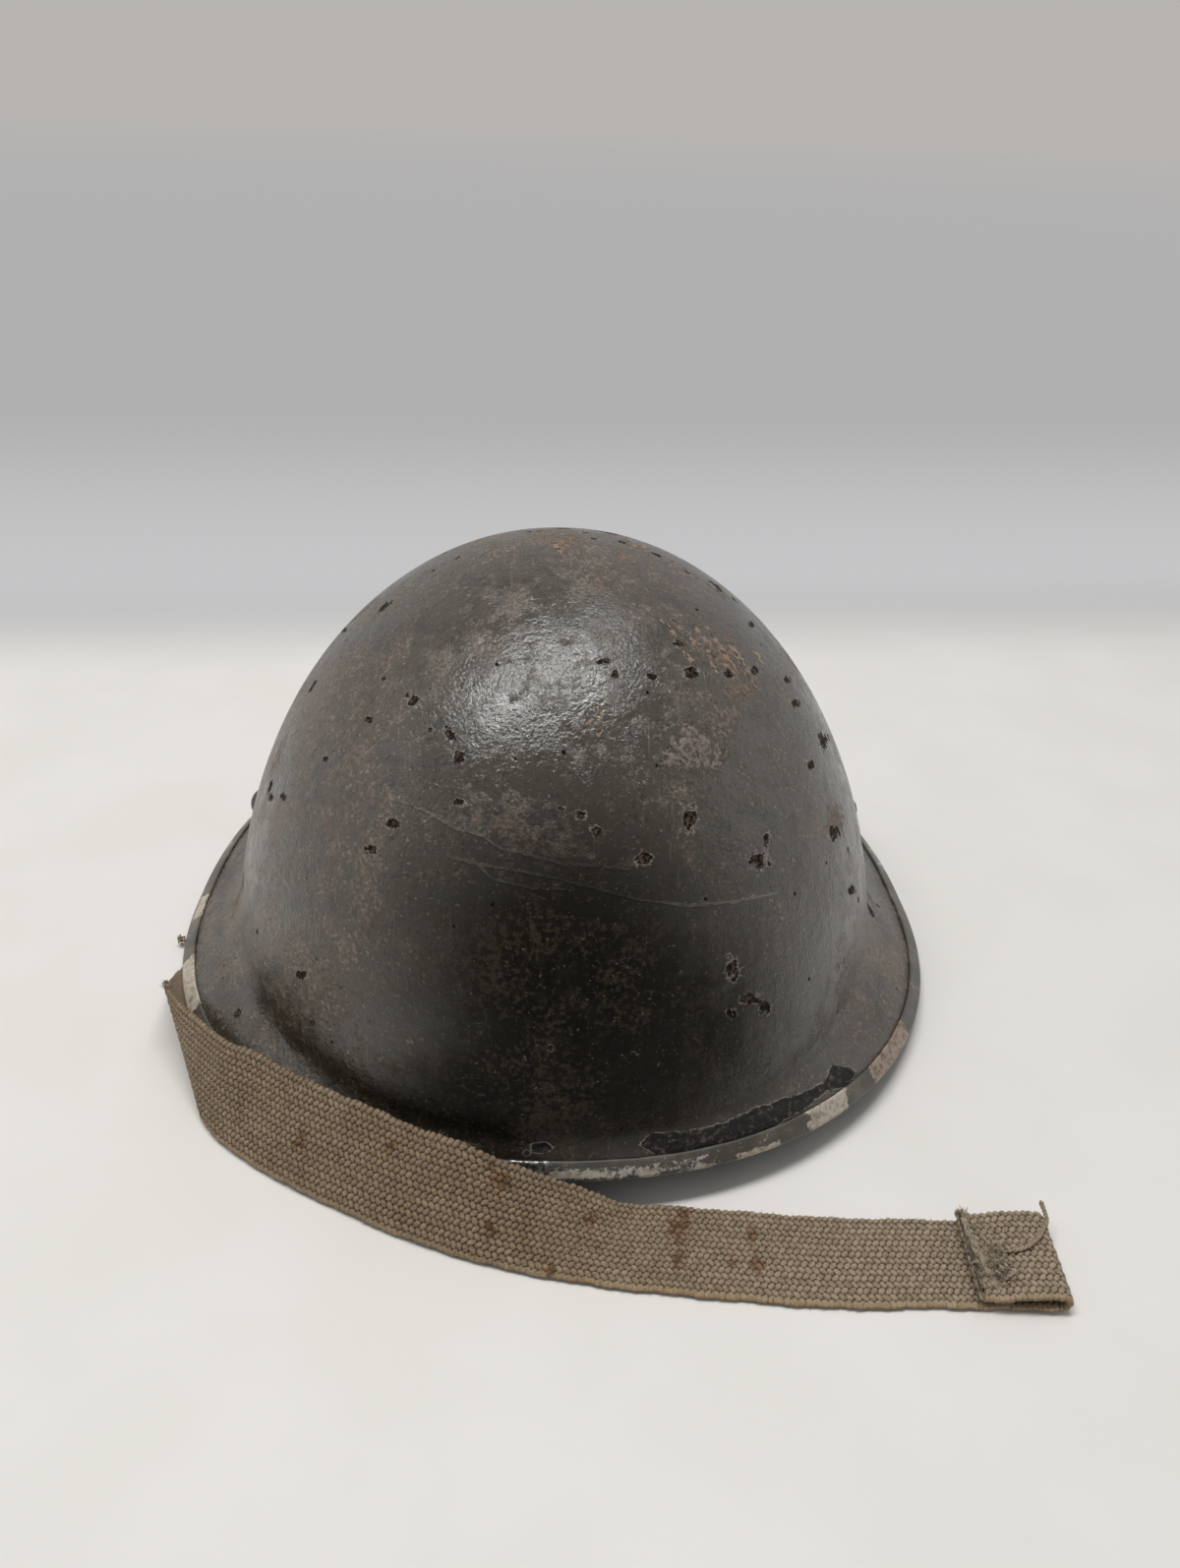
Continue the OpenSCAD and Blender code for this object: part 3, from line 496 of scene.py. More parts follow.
# Dust on the paint: place, half sizes, turn and share, below 0 where the paint is clean
DUST = [
    (330, 760, 130, 190, 20, 0.35), (590, 560, 170, 45, 0, 0.12), (800, 680, 90, 120, 30, 0.28),
    (300, 960, 110, 130, 0, 0.25), (700, 760, 60, 60, 0, 0.3), (520, 850, 70, 50, 10, 0.35),
    (480, 1080, 130, 40, 10, 0.3), (905, 960, 30, 80, 0, 0.35), (225, 940, 40, 70, 0, 0.45),
    (560, 1010, 190, 120, 0, -0.5), (640, 960, 200, 90, 0, -0.3), (500, 760, 130, 70, 0, -0.2),
    (820, 940, 70, 120, 0, -0.12), (620, 1110, 200, 30, 0, -0.3),
]
DUST_LEVEL = 0.42
dust = DUST_LEVEL + 0 * facing
for px, py, rx, ry, turn, share in DUST:
    dust += share * smooth(blot(px, py, rx * 1.35, ry * 1.35, turn))
dust += np.where(facing < 0.1, 0.15, 0)

# Rust: place, half sizes, turn and strength
NO_RUST = -0.6
RUST = [
    (514, 836, 22, 18, 0, 1.0), (735, 668, 38, 20, 35, 1.1), (606, 735, 16, 10, 0, 0.8),
    (612, 589, 14, 12, 0, 0.9), (573, 554, 13, 7, 0, 1.5), (587, 549, 14, 4, 10, 0.9),
    (640, 566, 26, 5, 18, 0.9), (750, 700, 30, 18, 0, 0.9), (849, 835, 14, 26, 0, 0.9),
    (640, 880, 20, 10, 0, 0.7), (300, 700, 20, 34, 30, 0.5), (860, 1000, 20, 60, 0, 0.5),
    (745, 655, 20, 10, 45, 0.8), (455, 700, 12, 8, 0, 0.5), (505, 1045, 26, 8, 0, 0.6),
    (590, 1070, 26, 10, 0, 0.6),
]
rust = np.full(outer.shape[:2], NO_RUST)
for px, py, rx, ry, turn, strength in RUST:
    spot = smooth(blot(px, py, rx * 1.6, ry * 1.6, turn))
    rust = np.maximum(rust, seen_only(NO_RUST + (strength - NO_RUST) * spot, NO_RUST))
# Rough skin: place and half sizes
ROUGH_SKIN = (703, 762, 62, 50)
rough_skin = smooth(blot(*ROUGH_SKIN))
# Streaks that run down
STREAKS = [
    [(250, 862), (226, 905), (222, 950)], [(262, 905), (240, 960)], [(884, 905), (905, 960)],
    [(880, 1000), (899, 1042)],
]
streak = smooth(near_lines(STREAKS, 9))

# Short scrapes through the paint: place and length, with a minus where one leans the other way
SCRAPES = [
    (680, 638, 20), (688, 634, 14), (706, 652, 18), (714, 646, 22), (722, 664, 16), (731, 655, 22),
    (738, 668, 24), (748, 662, 18), (742, 680, 16), (756, 676, 22), (764, 690, 14), (726, 678, 12),
    (772, 668, 14), (700, 668, 12), (596, 738, -16), (606, 732, -18), (612, 742, -12), (640, 548, 16),
    (655, 556, 14), (566, 556, 12),
]
scrape = smooth(near_lines([
    [(x - abs(length) * 0.35, y - length * 0.4), (x + abs(length) * 0.35, y + length * 0.4)]
    for x, y, length in SCRAPES
], 4.2))

# The front wall's painted shade, darker and less glossy where the front got little light: place, half sizes
# and share
PAINTED_SHADES = [(575, 1005, 275, 320, 1.0), (520, 1115, 260, 85, 0.85), (720, 1050, 170, 150, 0.6)]
painted_shade = 0 * facing
for px, py, rx, ry, share in PAINTED_SHADES:
    painted_shade = 1 - (1 - painted_shade) * (1 - share * smooth(blot(px, py, rx, ry)))

# Rust, dust and rough skin on the sides that the photograph doesn't show
for place in unseen_places(RUST_COUNT):
    spot = smooth(1 - away_from(place) / (6 + 14 * rng.random()))
    rust = np.maximum(rust, NO_RUST + 1.3 * spot)
for place in unseen_places(DUST_COUNT):
    dust += (rng.random() - 0.4) * 0.8 * smooth(1 - away_from(place) / (25 + 40 * rng.random()))
for place in unseen_places(ROUGH_COUNT):
    spot = smooth(1 - away_from(place, (1, 1, 1.4)) / (10 + 12 * rng.random()))
    rough_skin = np.maximum(rough_skin, spot)

relief = 0.12 * smooth(crack) - 0.15 * smooth((pit + 0.1) * 1.6) - 0.16 * smooth(strip * 0.5 + 0.5)
outer_final = outer + outer_normals * relief[..., None]


def shell_material():
    s = Shader("shell_paint")
    pits, bare, painted_shade = s.attribute("pit"), s.attribute("strip"), s.attribute("painted_shade")
    fine = s.noise(1.0, 3, 0.6)
    grain = s.noise(2.0, 5, 0.68)
    mottle = s.noise(6.0, 6, 0.7)
    broad = s.noise(20, 5, 0.62)
    # dark olive paint, mottled
    paint = s.tones(mottle, 0.36, 0.62, (0.035, 0.03, 0.021), (0.058, 0.049, 0.035))
    # worn places where the brown ground shows, with ragged edges
    worn_field = s.ragged(s.ragged(s.attribute("dust"), s.noise(9.0, 7, 0.76), 3.4), broad, 1.6)
    worn = s.steps(worn_field, 0.48, 1.02)
    ground = s.tones(fine, 0.36, 0.64, (0.04, 0.025, 0.015), (0.148, 0.104, 0.066))
    # small pale specks, most of them on worn places, and dark ones
    speck = s.add(s.noise(1.15, 3, 0.62), s.ragged(s.times(worn, 0.075), mottle, 0.12))
    speck = s.steps(speck, 0.625, 0.68)
    dark_speck = s.ragged_steps(s.noise(1.5, 4, 0.68), mottle, 0.3, 0.4, 0.34)
    # rough, granular skin where the gloss is gone
    skin_noise = s.noise(1.5, 3, 0.62)
    skin_share = s.patch("rough_skin", (4.5, 6, 0.75), 3.0, 0.45, 0.62)
    skin_color = s.tones(skin_noise, 0.42, 0.58, (0.036, 0.022, 0.017), (0.19, 0.148, 0.118))
    streak = s.times(s.attribute("streak"), s.steps(grain, 0.35, 0.6))
    # rust, a fine tan and brown speckle
    rust_share = s.patch("rust", (3.0, 6, 0.78), 5.0, 0.3, 0.95)
    rust_steps = s.steps(s.noise(1.3, 4, 0.66), 0.42, 0.58)
    rust_color = s.mix(rust_steps, (0.044, 0.024, 0.014), (0.215, 0.138, 0.082))
    # fine scratches in two directions, and the short scrapes
    scratch_a = s.steps(s.noise(1.3, 2, 0.5, 0.5, s.stretch((1.5, 0.1, 0.1), turn=(0, 25, 35))), 0.67, 0.72)
    scratch_b = s.steps(s.noise(1.3, 2, 0.5, 0.5, s.stretch((0.1, 1.1, 1.7), turn=(30, 0, -20))), 0.68, 0.73)
    scratch = s.most(scratch_a, scratch_b)
    scraped = s.patch("scrape", (1.7, 4, 0.7), 1.8, 0.42, 0.6)
    scrape_steps = s.steps(s.noise(1.6, 3, 0.6), 0.44, 0.54)
    scrape_color = s.mix(scrape_steps, (0.018, 0.011, 0.008), (0.24, 0.16, 0.098))
    # raised cracks, with a painted highlight as pale colour on their crests
    crest = s.ragged_steps(s.attribute("crack"), grain, 1.5, 0.46, 0.78)
    # painted shade on the front wall, darker and less glossy, with flecks and painted glints in it
    painted_deep_shade = s.ragged_steps(painted_shade, mottle, 0.7, 0.0, 0.92)
    fleck = s.ragged_steps(s.noise(1.5, 4, 0.7), broad, 0.7, 0.51, 0.64)
    # painted glints: tiny pale specks inside the painted shade
    glint = s.ragged_steps(s.noise(0.95, 2, 0.5), grain, 0.25, 0.68, 0.73)
    # small pits everywhere, and the large ones, with a lifted edge of paint round them that is painted pale
    # as a highlight
    chosen = s.steps(s.cells(5.2, "Color"), 0.76, 0.78, smooth=False)
    small = s.times(s.steps(s.add(s.cells(5.2), s.times(fine, 0.22)), 0.23, 0.18), chosen)
    pit_field = s.ragged(pits, s.noise(2.1, 4, 0.62), 3.4)
    pit_share = s.most(s.steps(pit_field, 0.12, 0.22), small)
    lip = s.times(s.steps(pit_field, -0.42, -0.12), s.steps(pit_field, 0.1, -0.02))
    pit_floor = s.times(s.steps(fine, 0.4, 0.6), s.steps(pit_field, 0.26, 0.52))
    pit_color = s.mix(pit_floor, (0.0055, 0.004, 0.0032), (0.088, 0.06, 0.044))
    # bare strip of dark, purple-brown scale
    strip_field = s.ragged(bare, s.noise(2.8, 5, 0.7), 1.7)
    strip_share = s.steps(strip_field, -0.04, 0.04)
    scale = s.tones(s.noise(1.7, 5, 0.72), 0.5, 0.66, (0.007, 0.005, 0.005), (0.095, 0.07, 0.064))
    strip_lip = s.times(s.steps(strip_field, -0.34, -0.16), s.steps(strip_field, 0.0, -0.05))
    color = s.coats(
        paint,
        (s.steps(broad, 0.42, 0.6), 0.6, (0.05, 0.037, 0.025)),
        (worn, 0.78, ground),
        (speck, 0.62, (0.25, 0.205, 0.16)),
        (dark_speck, 0.82, (0.011, 0.009, 0.007)),
        (skin_share, 0.82, skin_color),
        (streak, 1, (0.022, 0.019, 0.016)),
        (rust_share, 0.74, rust_color),
        (scratch, 0.3, (0.18, 0.148, 0.112)),
        (scraped, 1, scrape_color),
        # pale crack crests: a painted highlight
        (crest, 0.6, (0.155, 0.132, 0.105)),
        # painted shade: the front wall made darker
        (painted_deep_shade, s.steps(mottle, 0.3, 0.66, 1.0, 0.84), (0.0068, 0.0055, 0.0042)),
        (s.times(fleck, painted_shade), 0.56, (0.066, 0.048, 0.033)),
        # pale specks: painted glints
        (s.times(glint, painted_shade), 0.55, (0.2, 0.18, 0.155)),
        # pale lifted edges round the pits: a painted highlight
        (lip, s.steps(grain, 0.44, 0.54), (0.185, 0.155, 0.125)),
        (pit_share, 1, pit_color),
        (strip_lip, s.steps(grain, 0.4, 0.52), (0.19, 0.165, 0.138)),
        (strip_share, 1, scale),
    )
    # relief in millimetres, from a broad peel and a finer grain in patches
    patches = s.steps(s.noise(13, 4, 0.6), 0.38, 0.6, 0.45, 1.0)
    height = s.pile(
        s.times(s.noise(3.2, 4, 0.6), 0.3),
        (s.times(fine, patches), 0.3),
        (s.times(grain, worn), 0.22),
        (s.times(skin_noise, skin_share), 0.55),
        (rust_share, 0.1),
        (scraped, -0.1),
        (lip, 0.16),
        (pit_share, -0.55),
        (strip_lip, 0.22),
        (strip_share, -0.45),
        (s.times(s.noise(2.2, 5, 0.68), strip_share), 1.3),
        (scratch, -0.03),
        (crest, 0.42),
    )
    rough = s.ragged(s.blend(worn, 0.17, 0.34), grain, 0.22)
    rough = s.settle(rough, (skin_share, 0.42), (rust_share, 0.68), (pit_share, 0.8), (strip_share, 0.5))
    # less gloss in the painted shade, the pits and the bare strip
    level = s.blend(s.most(painted_deep_shade, s.most(pit_share, s.times(strip_share, 0.7))), 0.8, 0.055)
    return s.finish(color, rough, s.bump(height), Specular_IOR_Level=level)


def inside_material():
    s = Shader("shell_paint_inside")
    grain, broad = s.noise(2.5, 5, 0.7), s.noise(22, 4, 0.6)
    color = s.tones(broad, 0.4, 0.65, (0.034, 0.033, 0.027), (0.06, 0.052, 0.042))
    rusty = s.steps(s.add(grain, s.times(broad, 0.4)), 0.72, 0.84)
    color = s.coats(color, (rusty, 0.7, (0.14, 0.07, 0.035)))
    height = s.pile(s.times(s.noise(1.4, 3), 0.1), (rusty, 0.08))
    return s.finish(color, s.blend(rusty, 0.55, 0.8), s.bump(height, 0.8), Specular_IOR_Level=0.4)


def shell_quads():
    """Outer skin, inner skin and the edge between them, each crown closed by triangles."""
    def rows_of(first, rows):
        return first + 1 + np.arange(COLUMNS * (rows - 1)).reshape(rows - 1, COLUMNS)

    out, size_out = rows_of(0, ROWS), 1 + COLUMNS * (ROWS - 1)
    inn = rows_of(size_out, INNER_ROWS)
    outside = quads_between(out[:-1], out[1:])
    inside = quads_between(inn[:-1], inn[1:])[:, ::-1]
    caps = [(0, int(a), int(b)) for a, b in zip(out[0], np.roll(out[0], -1))]
    caps += [(size_out, int(b), int(a)) for a, b in zip(inn[0], np.roll(inn[0], -1))]
    return np.concatenate([outside, inside, quads_between(out[-1], inn[-1])]), caps, len(outside)


def in_rows(field, rows):
    """A field over a skin, ordered as the mesh's vertices: the crown point, then row by row."""
    return np.concatenate([field[:1, 0], field[:, 1:rows].swapaxes(0, 1).reshape(-1, *field.shape[2:])])


quads, caps, outer_count = shell_quads()
points = np.concatenate([in_rows(outer_final, ROWS), in_rows(inner, INNER_ROWS)])
shell = quads_mesh("shell_visual", points, quads, [shell_material(), inside_material()], caps)
inner_size = 1 + COLUMNS * (INNER_ROWS - 1)
for name, field, rest in (
    ("pit", pit, OUTSIDE), ("strip", strip, -1), ("crack", crack, 0), ("dust", dust, 0.5),
    ("rust", rust, NO_RUST), ("rough_skin", rough_skin, 0), ("streak", streak, 0), ("painted_shade", painted_shade, 0),
    ("scrape", scrape, 0),
):
    values = np.concatenate([in_rows(field, ROWS), np.full(inner_size, float(rest))])
    set_attributes(shell, **{name: values})
inside_faces = np.zeros(len(shell.data.polygons), np.int32)
inside_faces[outer_count:len(quads)] = 1
inside_faces[len(quads) + COLUMNS:] = 1
shell.data.polygons.foreach_set("material_index", inside_faces)
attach(shell, "bowl")
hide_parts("shell")


def binding_outline():
    """The folded strip's section, with its bend and lips rounded, in [along, out] millimetres."""
    top, under = 0.76, -1.96
    section = [(5.0, 0.08), (5.02, 0.45), (4.88, 0.68), (4.5, top + 0.02)]
    section += [(4.5 - 3.9 * k / 9, top + 0.04 * math.sin(math.pi * k / 9)) for k in range(1, 9)]
    middle, radius = (top + under) / 2, (top - under) / 2
    section += [
        (0.55 - 1.45 * math.cos(math.radians(a)), middle - (radius + 0.03) * math.sin(math.radians(a)))
        for a in range(-86, 87, 12)
    ]
    section += [(0.6 + 3.9 * k / 6, under - 0.03) for k in range(1, 6)]
    section += [(4.6, under), (4.95, under + 0.15), (5.0, -1.5), (4.95, -1.27), (2.0, -1.26), (-0.06, -1.26)]
    section += [(-0.06, 0.06), (2.0, 0.06)]
    return np.array(section)


# The rim binding. Its section runs from 5 at the lip to -1 at the bend.
RIM = 1400
rim_turns = np.arange(RIM) / RIM * TURN
rim_degrees = np.degrees(rim_turns)
rim_edge, rim_down = edge_point(rim_turns), edge_direction(rim_turns)
rim_normal = unit(np.cross(rim_down, np.roll(rim_edge, -1, 0) - np.roll(rim_edge, 1, 0)))
section = binding_outline()
WAVES = ((7, .05, 1), (13, .04, 2.2), (29, .035, .4), (61, .03, 4), (97, .02, 5))
wave = sum(size * np.sin(rim_turns * number + phase) for number, size, phase in WAVES)
rim_points = (
    rim_edge[None] - section[:, None, :1] * rim_down[None] + section[:, None, 1:] * rim_normal[None]
    + (section[:, None, :1] > 3) * (wave[None, :, None] * -rim_down[None])
)
# the lowest points of the binding stay on the floor
rim_points[..., 2] = np.maximum(rim_points[..., 2], 0)


def rim_turn_at(px, py):
    """Turn round the rim, in degrees, of the binding's outer face nearest to a pixel."""
    face = to_pixels(rim_edge - 2.2 * rim_down + 0.8 * rim_normal)
    hidden = np.where(np.sin(rim_turns) < 0.55, 0, 1e6)
    return rim_degrees[(np.hypot(face[:, 0] - px, face[:, 1] - py) + hidden).argmin()]


def rim_patch(start, end, low=-2.0, high=6.0, edge=1.2):
    """A field on the binding, above 0 between two turns in degrees and two places on the section."""
    middle, half = ((start + end) / 2) % 360, abs(end - start) / 2
    away = np.abs((rim_degrees - middle + 180) % 360 - 180)
    across = np.minimum(section[:, :1] - low, high - section[:, :1]) / 0.8
    return np.clip(np.minimum((half - away)[None, :] / edge, across), -1, 1)


# Patches: the pixels where each starts and ends, then its two places on the section
CREAM = [
    ((858, 1111), (820, 1133), -2, 5.5), ((795, 1158), (753, 1172), -2, 1.2),
    ((730, 1179), (700, 1188), -2, 0.8), ((191, 1030), (193, 975), -2, 5.5),
    ((199, 934), (213, 914), 1, 5), ((666, 1184), (650, 1188), -1.5, 2),
    ((620, 1186), (560, 1187), 0.4, 2.6),
]
STEEL = [((720, 1176), (470, 1170), -2, 3.2), ((560, 1180), (515, 1180), 0, 5.5)]
STAIN_START, STAIN_END = (923, 1046), (884, 1090)
STEEL_EDGE = 3
cream = np.full((len(section), RIM), -1.0)
steel = np.full((len(section), RIM), -1.0)
for start, end, low, high in CREAM:
    cream = np.maximum(cream, rim_patch(rim_turn_at(*start), rim_turn_at(*end), low, high))
for start, end, low, high in STEEL:
    steel = np.maximum(steel, rim_patch(rim_turn_at(*start), rim_turn_at(*end), low, high, STEEL_EDGE))
for turn in rng.uniform(22, 178, 7):
    size = rng.uniform(1, 4)
    cream = np.maximum(cream, rim_patch(turn - size, turn + size, rng.choice([-2, 1]), rng.choice([2, 5.5])))
for turn in rng.uniform(0, 178, 5):
    steel = np.maximum(steel, rim_patch(turn - 4, turn + 4, -2, rng.uniform(1, 4), STEEL_EDGE))
stained = rim_patch(rim_turn_at(*STAIN_START), rim_turn_at(*STAIN_END))


def binding_material():
    s = Shader("binding_paint")
    fine, grain, broad = s.noise(0.8, 4, 0.7), s.noise(2.0, 5, 0.7), s.noise(9, 4, 0.6)
    paint = s.tones(broad, 0.4, 0.62, (0.068, 0.062, 0.051), (0.106, 0.095, 0.079))
    worn = s.ragged_steps(grain, broad, 0.8, 0.55, 0.72)
    brown = s.ragged_steps(fine, grain, 1.0, 0.6, 0.72)
    cream_share = s.patch("cream", (2.4, 6, 0.74), 3.8, -0.04, 0.06)
    cream_color = s.tones(s.noise(1.6, 5, 0.75), 0.42, 0.68, (0.52, 0.46, 0.38), (0.27, 0.22, 0.165))
    blotch = s.steps(s.noise(4.2, 4, 0.6), 0.55, 0.72)
    cream_color = s.coats(cream_color, (blotch, 0.75, (0.2, 0.125, 0.08)))
    flecks = s.steps(s.add(s.noise(1.5, 4, 0.7), s.times(broad, 0.25)), 0.76, 0.8)
    cream_all = s.most(cream_share, s.times(flecks, 0.85))
    stained_share = s.patch("stained", (2.4, 6, 0.74), 3.2, -0.04, 0.06)
    stained_color = s.tones(s.noise(2.0, 5, 0.72), 0.44, 0.62, (0.32, 0.245, 0.185), (0.135, 0.085, 0.058))
    steel_share = s.patch("steel", (2.2, 5, 0.7), 2.4, -0.05, 0.12)
    steel_share = s.times(steel_share, s.math("SUBTRACT", 1.0, cream_all))
    steel_color = s.tones(s.noise(1.5, 4, 0.7), 0.46, 0.6, (0.095, 0.092, 0.086), (0.5, 0.48, 0.45))
    color = s.coats(
        paint,
        (worn, 0.6, (0.15, 0.125, 0.1)),
        (brown, 0.55, (0.085, 0.058, 0.042)),
        (cream_all, 1, cream_color),
        (stained_share, 1, stained_color),
        (steel_share, 1, steel_color),
    )
    height = s.pile(s.times(fine, 0.05), (grain, 0.05), (cream_all, -0.1), (steel_share, -0.08))
    rough = s.settle(s.blend(cream_all, 0.42, 0.66), (steel_share, 0.34))
    metal = s.times(steel_share, 0.7)
    return s.finish(color, rough, s.bump(height, 0.9), Metallic=metal, Specular_IOR_Level=0.5)


binding = grid_mesh("rim_binding_visual", rim_points, binding_material(), closed=True)
set_attributes(binding, cream=cream, steel=steel, stained=stained)
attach(binding, "bowl")
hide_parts("rim_binding")

# The chinstrap's route, as in part.scad. Each station holds its turn round the rim, its distance
# outside it, its height, the strap's heading and tilt there, and the share of its width.
HANG = [
    (189.8, -23.9, 1.9, 95.6, 1.7, 1.02), (196.2, -22.9, 0.7, 114.9, 1.1, 1.19),
    (203.3, -23.1, 0.2, 127, 0.3, 1.28),
]
RUN = [
    (210.9, -19.7, 0, 138.8, 0.3, 1.28), (216.9, -10.5, 0, 130.6, 1, 1.47),
    (220.9, -2, 0, 123.7, 5, 1.59), (225, 5.8, 0, 118.6, 15.5, 1.65), (227.2, 10.2, 0, 116, 25.8, 1.69),
    (228.3, 11.2, 0, 113, 33.7, 1.4), (229.4, 11.5, 0, 101, 46.4, 1.12),
    (230.8, 11.7, 0, 79, 58.6, 1.01), (233.6, 11.7, 0, 65.5, 57, 1.04),
    (240.4, 11.2, 0, 69, 56.5, 1.05), (247.2, 11.6, 0, 65.8, 56.8, 1.05),
    (254, 14.1, 0, 62, 55.2, 1.03), (259.2, 16.5, 0, 67.4, 54.6, 1.02),
    (262, 18.1, 0, 65.5, 52.4, 0.96), (264.5, 19.5, 0, 65.6, 43.5, 0.91),
    (269, 22.1, 0, 73.3, 27.5, 0.88), (274.4, 25.4, 0, 81.4, 10, 0.88), (279.5, 29, 0, 85, 2.8, 0.98),
    (284.4, 33.7, 0, 83.3, 0.5, 1.02), (291.8, 43.6, 0, 83.5, 0.5, 1.02), (298.7, 54.8, 0, 87, 0, 1),
]
STRAP_WIDTH, STRAP_HALF, FLOOR_GAP = 26.0, 0.9, 0.05
LOWEST, FIBRE_LOWEST = 0.02, 0.15
# the wire loop's bar, which the strap's sewn end is folded round
BAR = np.array([-97.344, -1.909, 12.629])
WIRE_RADIUS, FOLD_GAP, FOLD_LENGTH = 1.5, 0.25, 6.05
# the sewn loop: its length, how far the bend at its nose stands off the strap, and its lap's length
LOOP_LENGTH, NOSE_GAP, LAP_LENGTH = 31, 0.85, 18.5


def station_line(turn, outside, height, heading, tilt, share):
    p, h, a = np.radians([turn, heading, tilt])
    r = brim_radius(p) + outside
    low = np.array([r * np.cos(p), r * np.sin(p), FLOOR_GAP + STRAP_HALF + height])
    across = np.array([np.cos(a) * np.cos(h), np.cos(a) * np.sin(h), np.sin(a)])
    return low, low + STRAP_WIDTH * share * across


def catmull(lines, count):
    """Smooth lines through a list of stations, count to each gap."""
    lines = [np.array(line, float) for line in lines]
    out = []
    for k in range(len(lines) - 1):
        a, b, c, d = (lines[min(max(n, 0), len(lines) - 1)] for n in (k - 1, k, k + 1, k + 2))
        for u in np.arange(count) / count:
            square, cube = 2 * a - 5 * b + 4 * c - d, 3 * b - a - 3 * c + d
            out.append(0.5 * (2 * b + (c - a) * u + square * u ** 2 + cube * u ** 3))
    return out


def moved(line, low_offset, high_offset=None):
    return line[0] + low_offset, line[1] + (low_offset if high_offset is None else high_offset)


def strap_lines():
    """Lines across the strap from its sewn end on the wire loop to the end of the sewn loop."""
    bar = (BAR - (0, STRAP_WIDTH / 2, 0), BAR + (0, STRAP_WIDTH / 2, 0))
    bend = WIRE_RADIUS + FOLD_GAP + STRAP_HALF
    lines = [moved(bar, (0.98, 0, z)) for z in np.linspace(-FOLD_LENGTH - 1.5, -2.9, 8)]
    for a in np.radians(np.arange(-38, 219, 16)):
        lines.append(moved(bar, (bend * math.cos(a), 0, bend * math.sin(a))))
    lines += [moved(bar, (-0.98, 0, z)) for z in np.linspace(-2.9, -FOLD_LENGTH, 6)]
    hang = [moved(bar, (-0.5, 0, -FOLD_LENGTH - 0.6))] + [station_line(*s) for s in HANG]
    run = [hang[-1]] + [station_line(*s) for s in RUN]
    lines += catmull(hang, 12) + catmull(run, 12)
    # the sewn loop: along the floor, up round its nose, and back on top of itself
    last = run[-1]
    ahead = unit(np.cross(last[1] - last[0], (0, 0, 1.0)))
    nose = STRAP_HALF + NOSE_GAP
    for x in np.linspace(0, LOOP_LENGTH - nose - STRAP_HALF, 24):
        lift = 0.9 * smooth((x - 8) / 20)
        lines.append(moved(last, ahead * x + (0, 0, lift * 0.6), ahead * x + (0, 0, lift)))
    base = lines[-1]
    for a in np.radians(np.arange(15, 181, 15)):
        lines.append(moved(base, ahead * nose * math.sin(a) + (0, 0, nose * (1 - math.cos(a)))))
    top = lines[-1]
    for x in np.linspace(0.8, LAP_LENGTH, 22):
        lines.append(moved(top, -ahead * x + (0, 0, -1.5 * smooth((x - 7) / 10))))
    for a in np.radians((30, 60, 90, 120)):
        back = LAP_LENGTH + 1.1 * math.sin(a)
        lines.append(moved(top, -ahead * back + (0, 0, -1.5 + 1.0 * (1 - math.cos(a)))))
    return np.array([[a, b] for a, b in lines])


def resample(lines, step):
    """Lines spaced evenly along the strap's middle, and the distance of each along it."""
    run = np.concatenate([[0], np.linalg.norm(np.diff(lines.mean(1), axis=0), axis=1).cumsum()])
    at = np.linspace(0, run[-1], int(run[-1] / step) + 1)
    flat = lines.reshape(len(lines), -1)
    return np.stack([np.interp(at, run, column) for column in flat.T], 1).reshape(len(at), 2, 3), at


def blur(values, size):
    kernel = np.hanning(size + 2)[1:-1]
    kernel /= kernel.sum()
    before, after = (np.repeat(end, size // 2, 0) for end in (values[:1], values[-1:]))
    flat = np.concatenate([before, values, after])
    flat = flat.reshape(len(flat), -1)
    return np.stack([np.convolve(column, kernel, "valid") for column in flat.T], 1).reshape(values.shape)


STRAP_STEP, ACROSS = ((0.31, 94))
sharp_line, along = resample(strap_lines(), STRAP_STEP)
strap_line = blur(sharp_line, 5)
strap_line[:2], strap_line[-2:] = sharp_line[:2], sharp_line[-2:]
tangent = unit(np.gradient(strap_line.mean(1), axis=0))
across_line = strap_line[:, 1] - strap_line[:, 0]
line_unit = unit(across_line)
strap_normal = unit(blur(unit(np.cross(tangent, across_line)), 5))
skew = (across_line * tangent).sum(1)
w = np.linspace(0, 1, ACROSS)
u = along[:, None] + (w[None, :] - 0.5) * skew[:, None]
v = (w - 0.5)[None, :] * STRAP_WIDTH + 0 * u


def weave(u, v):
    """Height from 0 to 1 of the webbing's yarns at u along and v across, in millimetres."""
    pitch_u, pitch_v = 1.72, 1.74
    nearest = np.full(np.shape(u), 9.0)
    base = np.floor(v / pitch_v + 100.5)
    for row in (base - 1, base, base + 1):
        odd = row % 2
        rv = v / pitch_v + 100 - row
        ru = u / pitch_u + 0.42 * (1 - 2 * odd) * rv + 0.5 * odd + 0.05 * np.sin(u * 0.9 + row * 2.1)
        ru = ru - np.floor(ru) - 0.5
        nearest = np.minimum(nearest, np.hypot(ru / 0.51, rv / 0.6))
    return np.clip(1 - nearest ** 2.3, 0, 1) ** 0.65


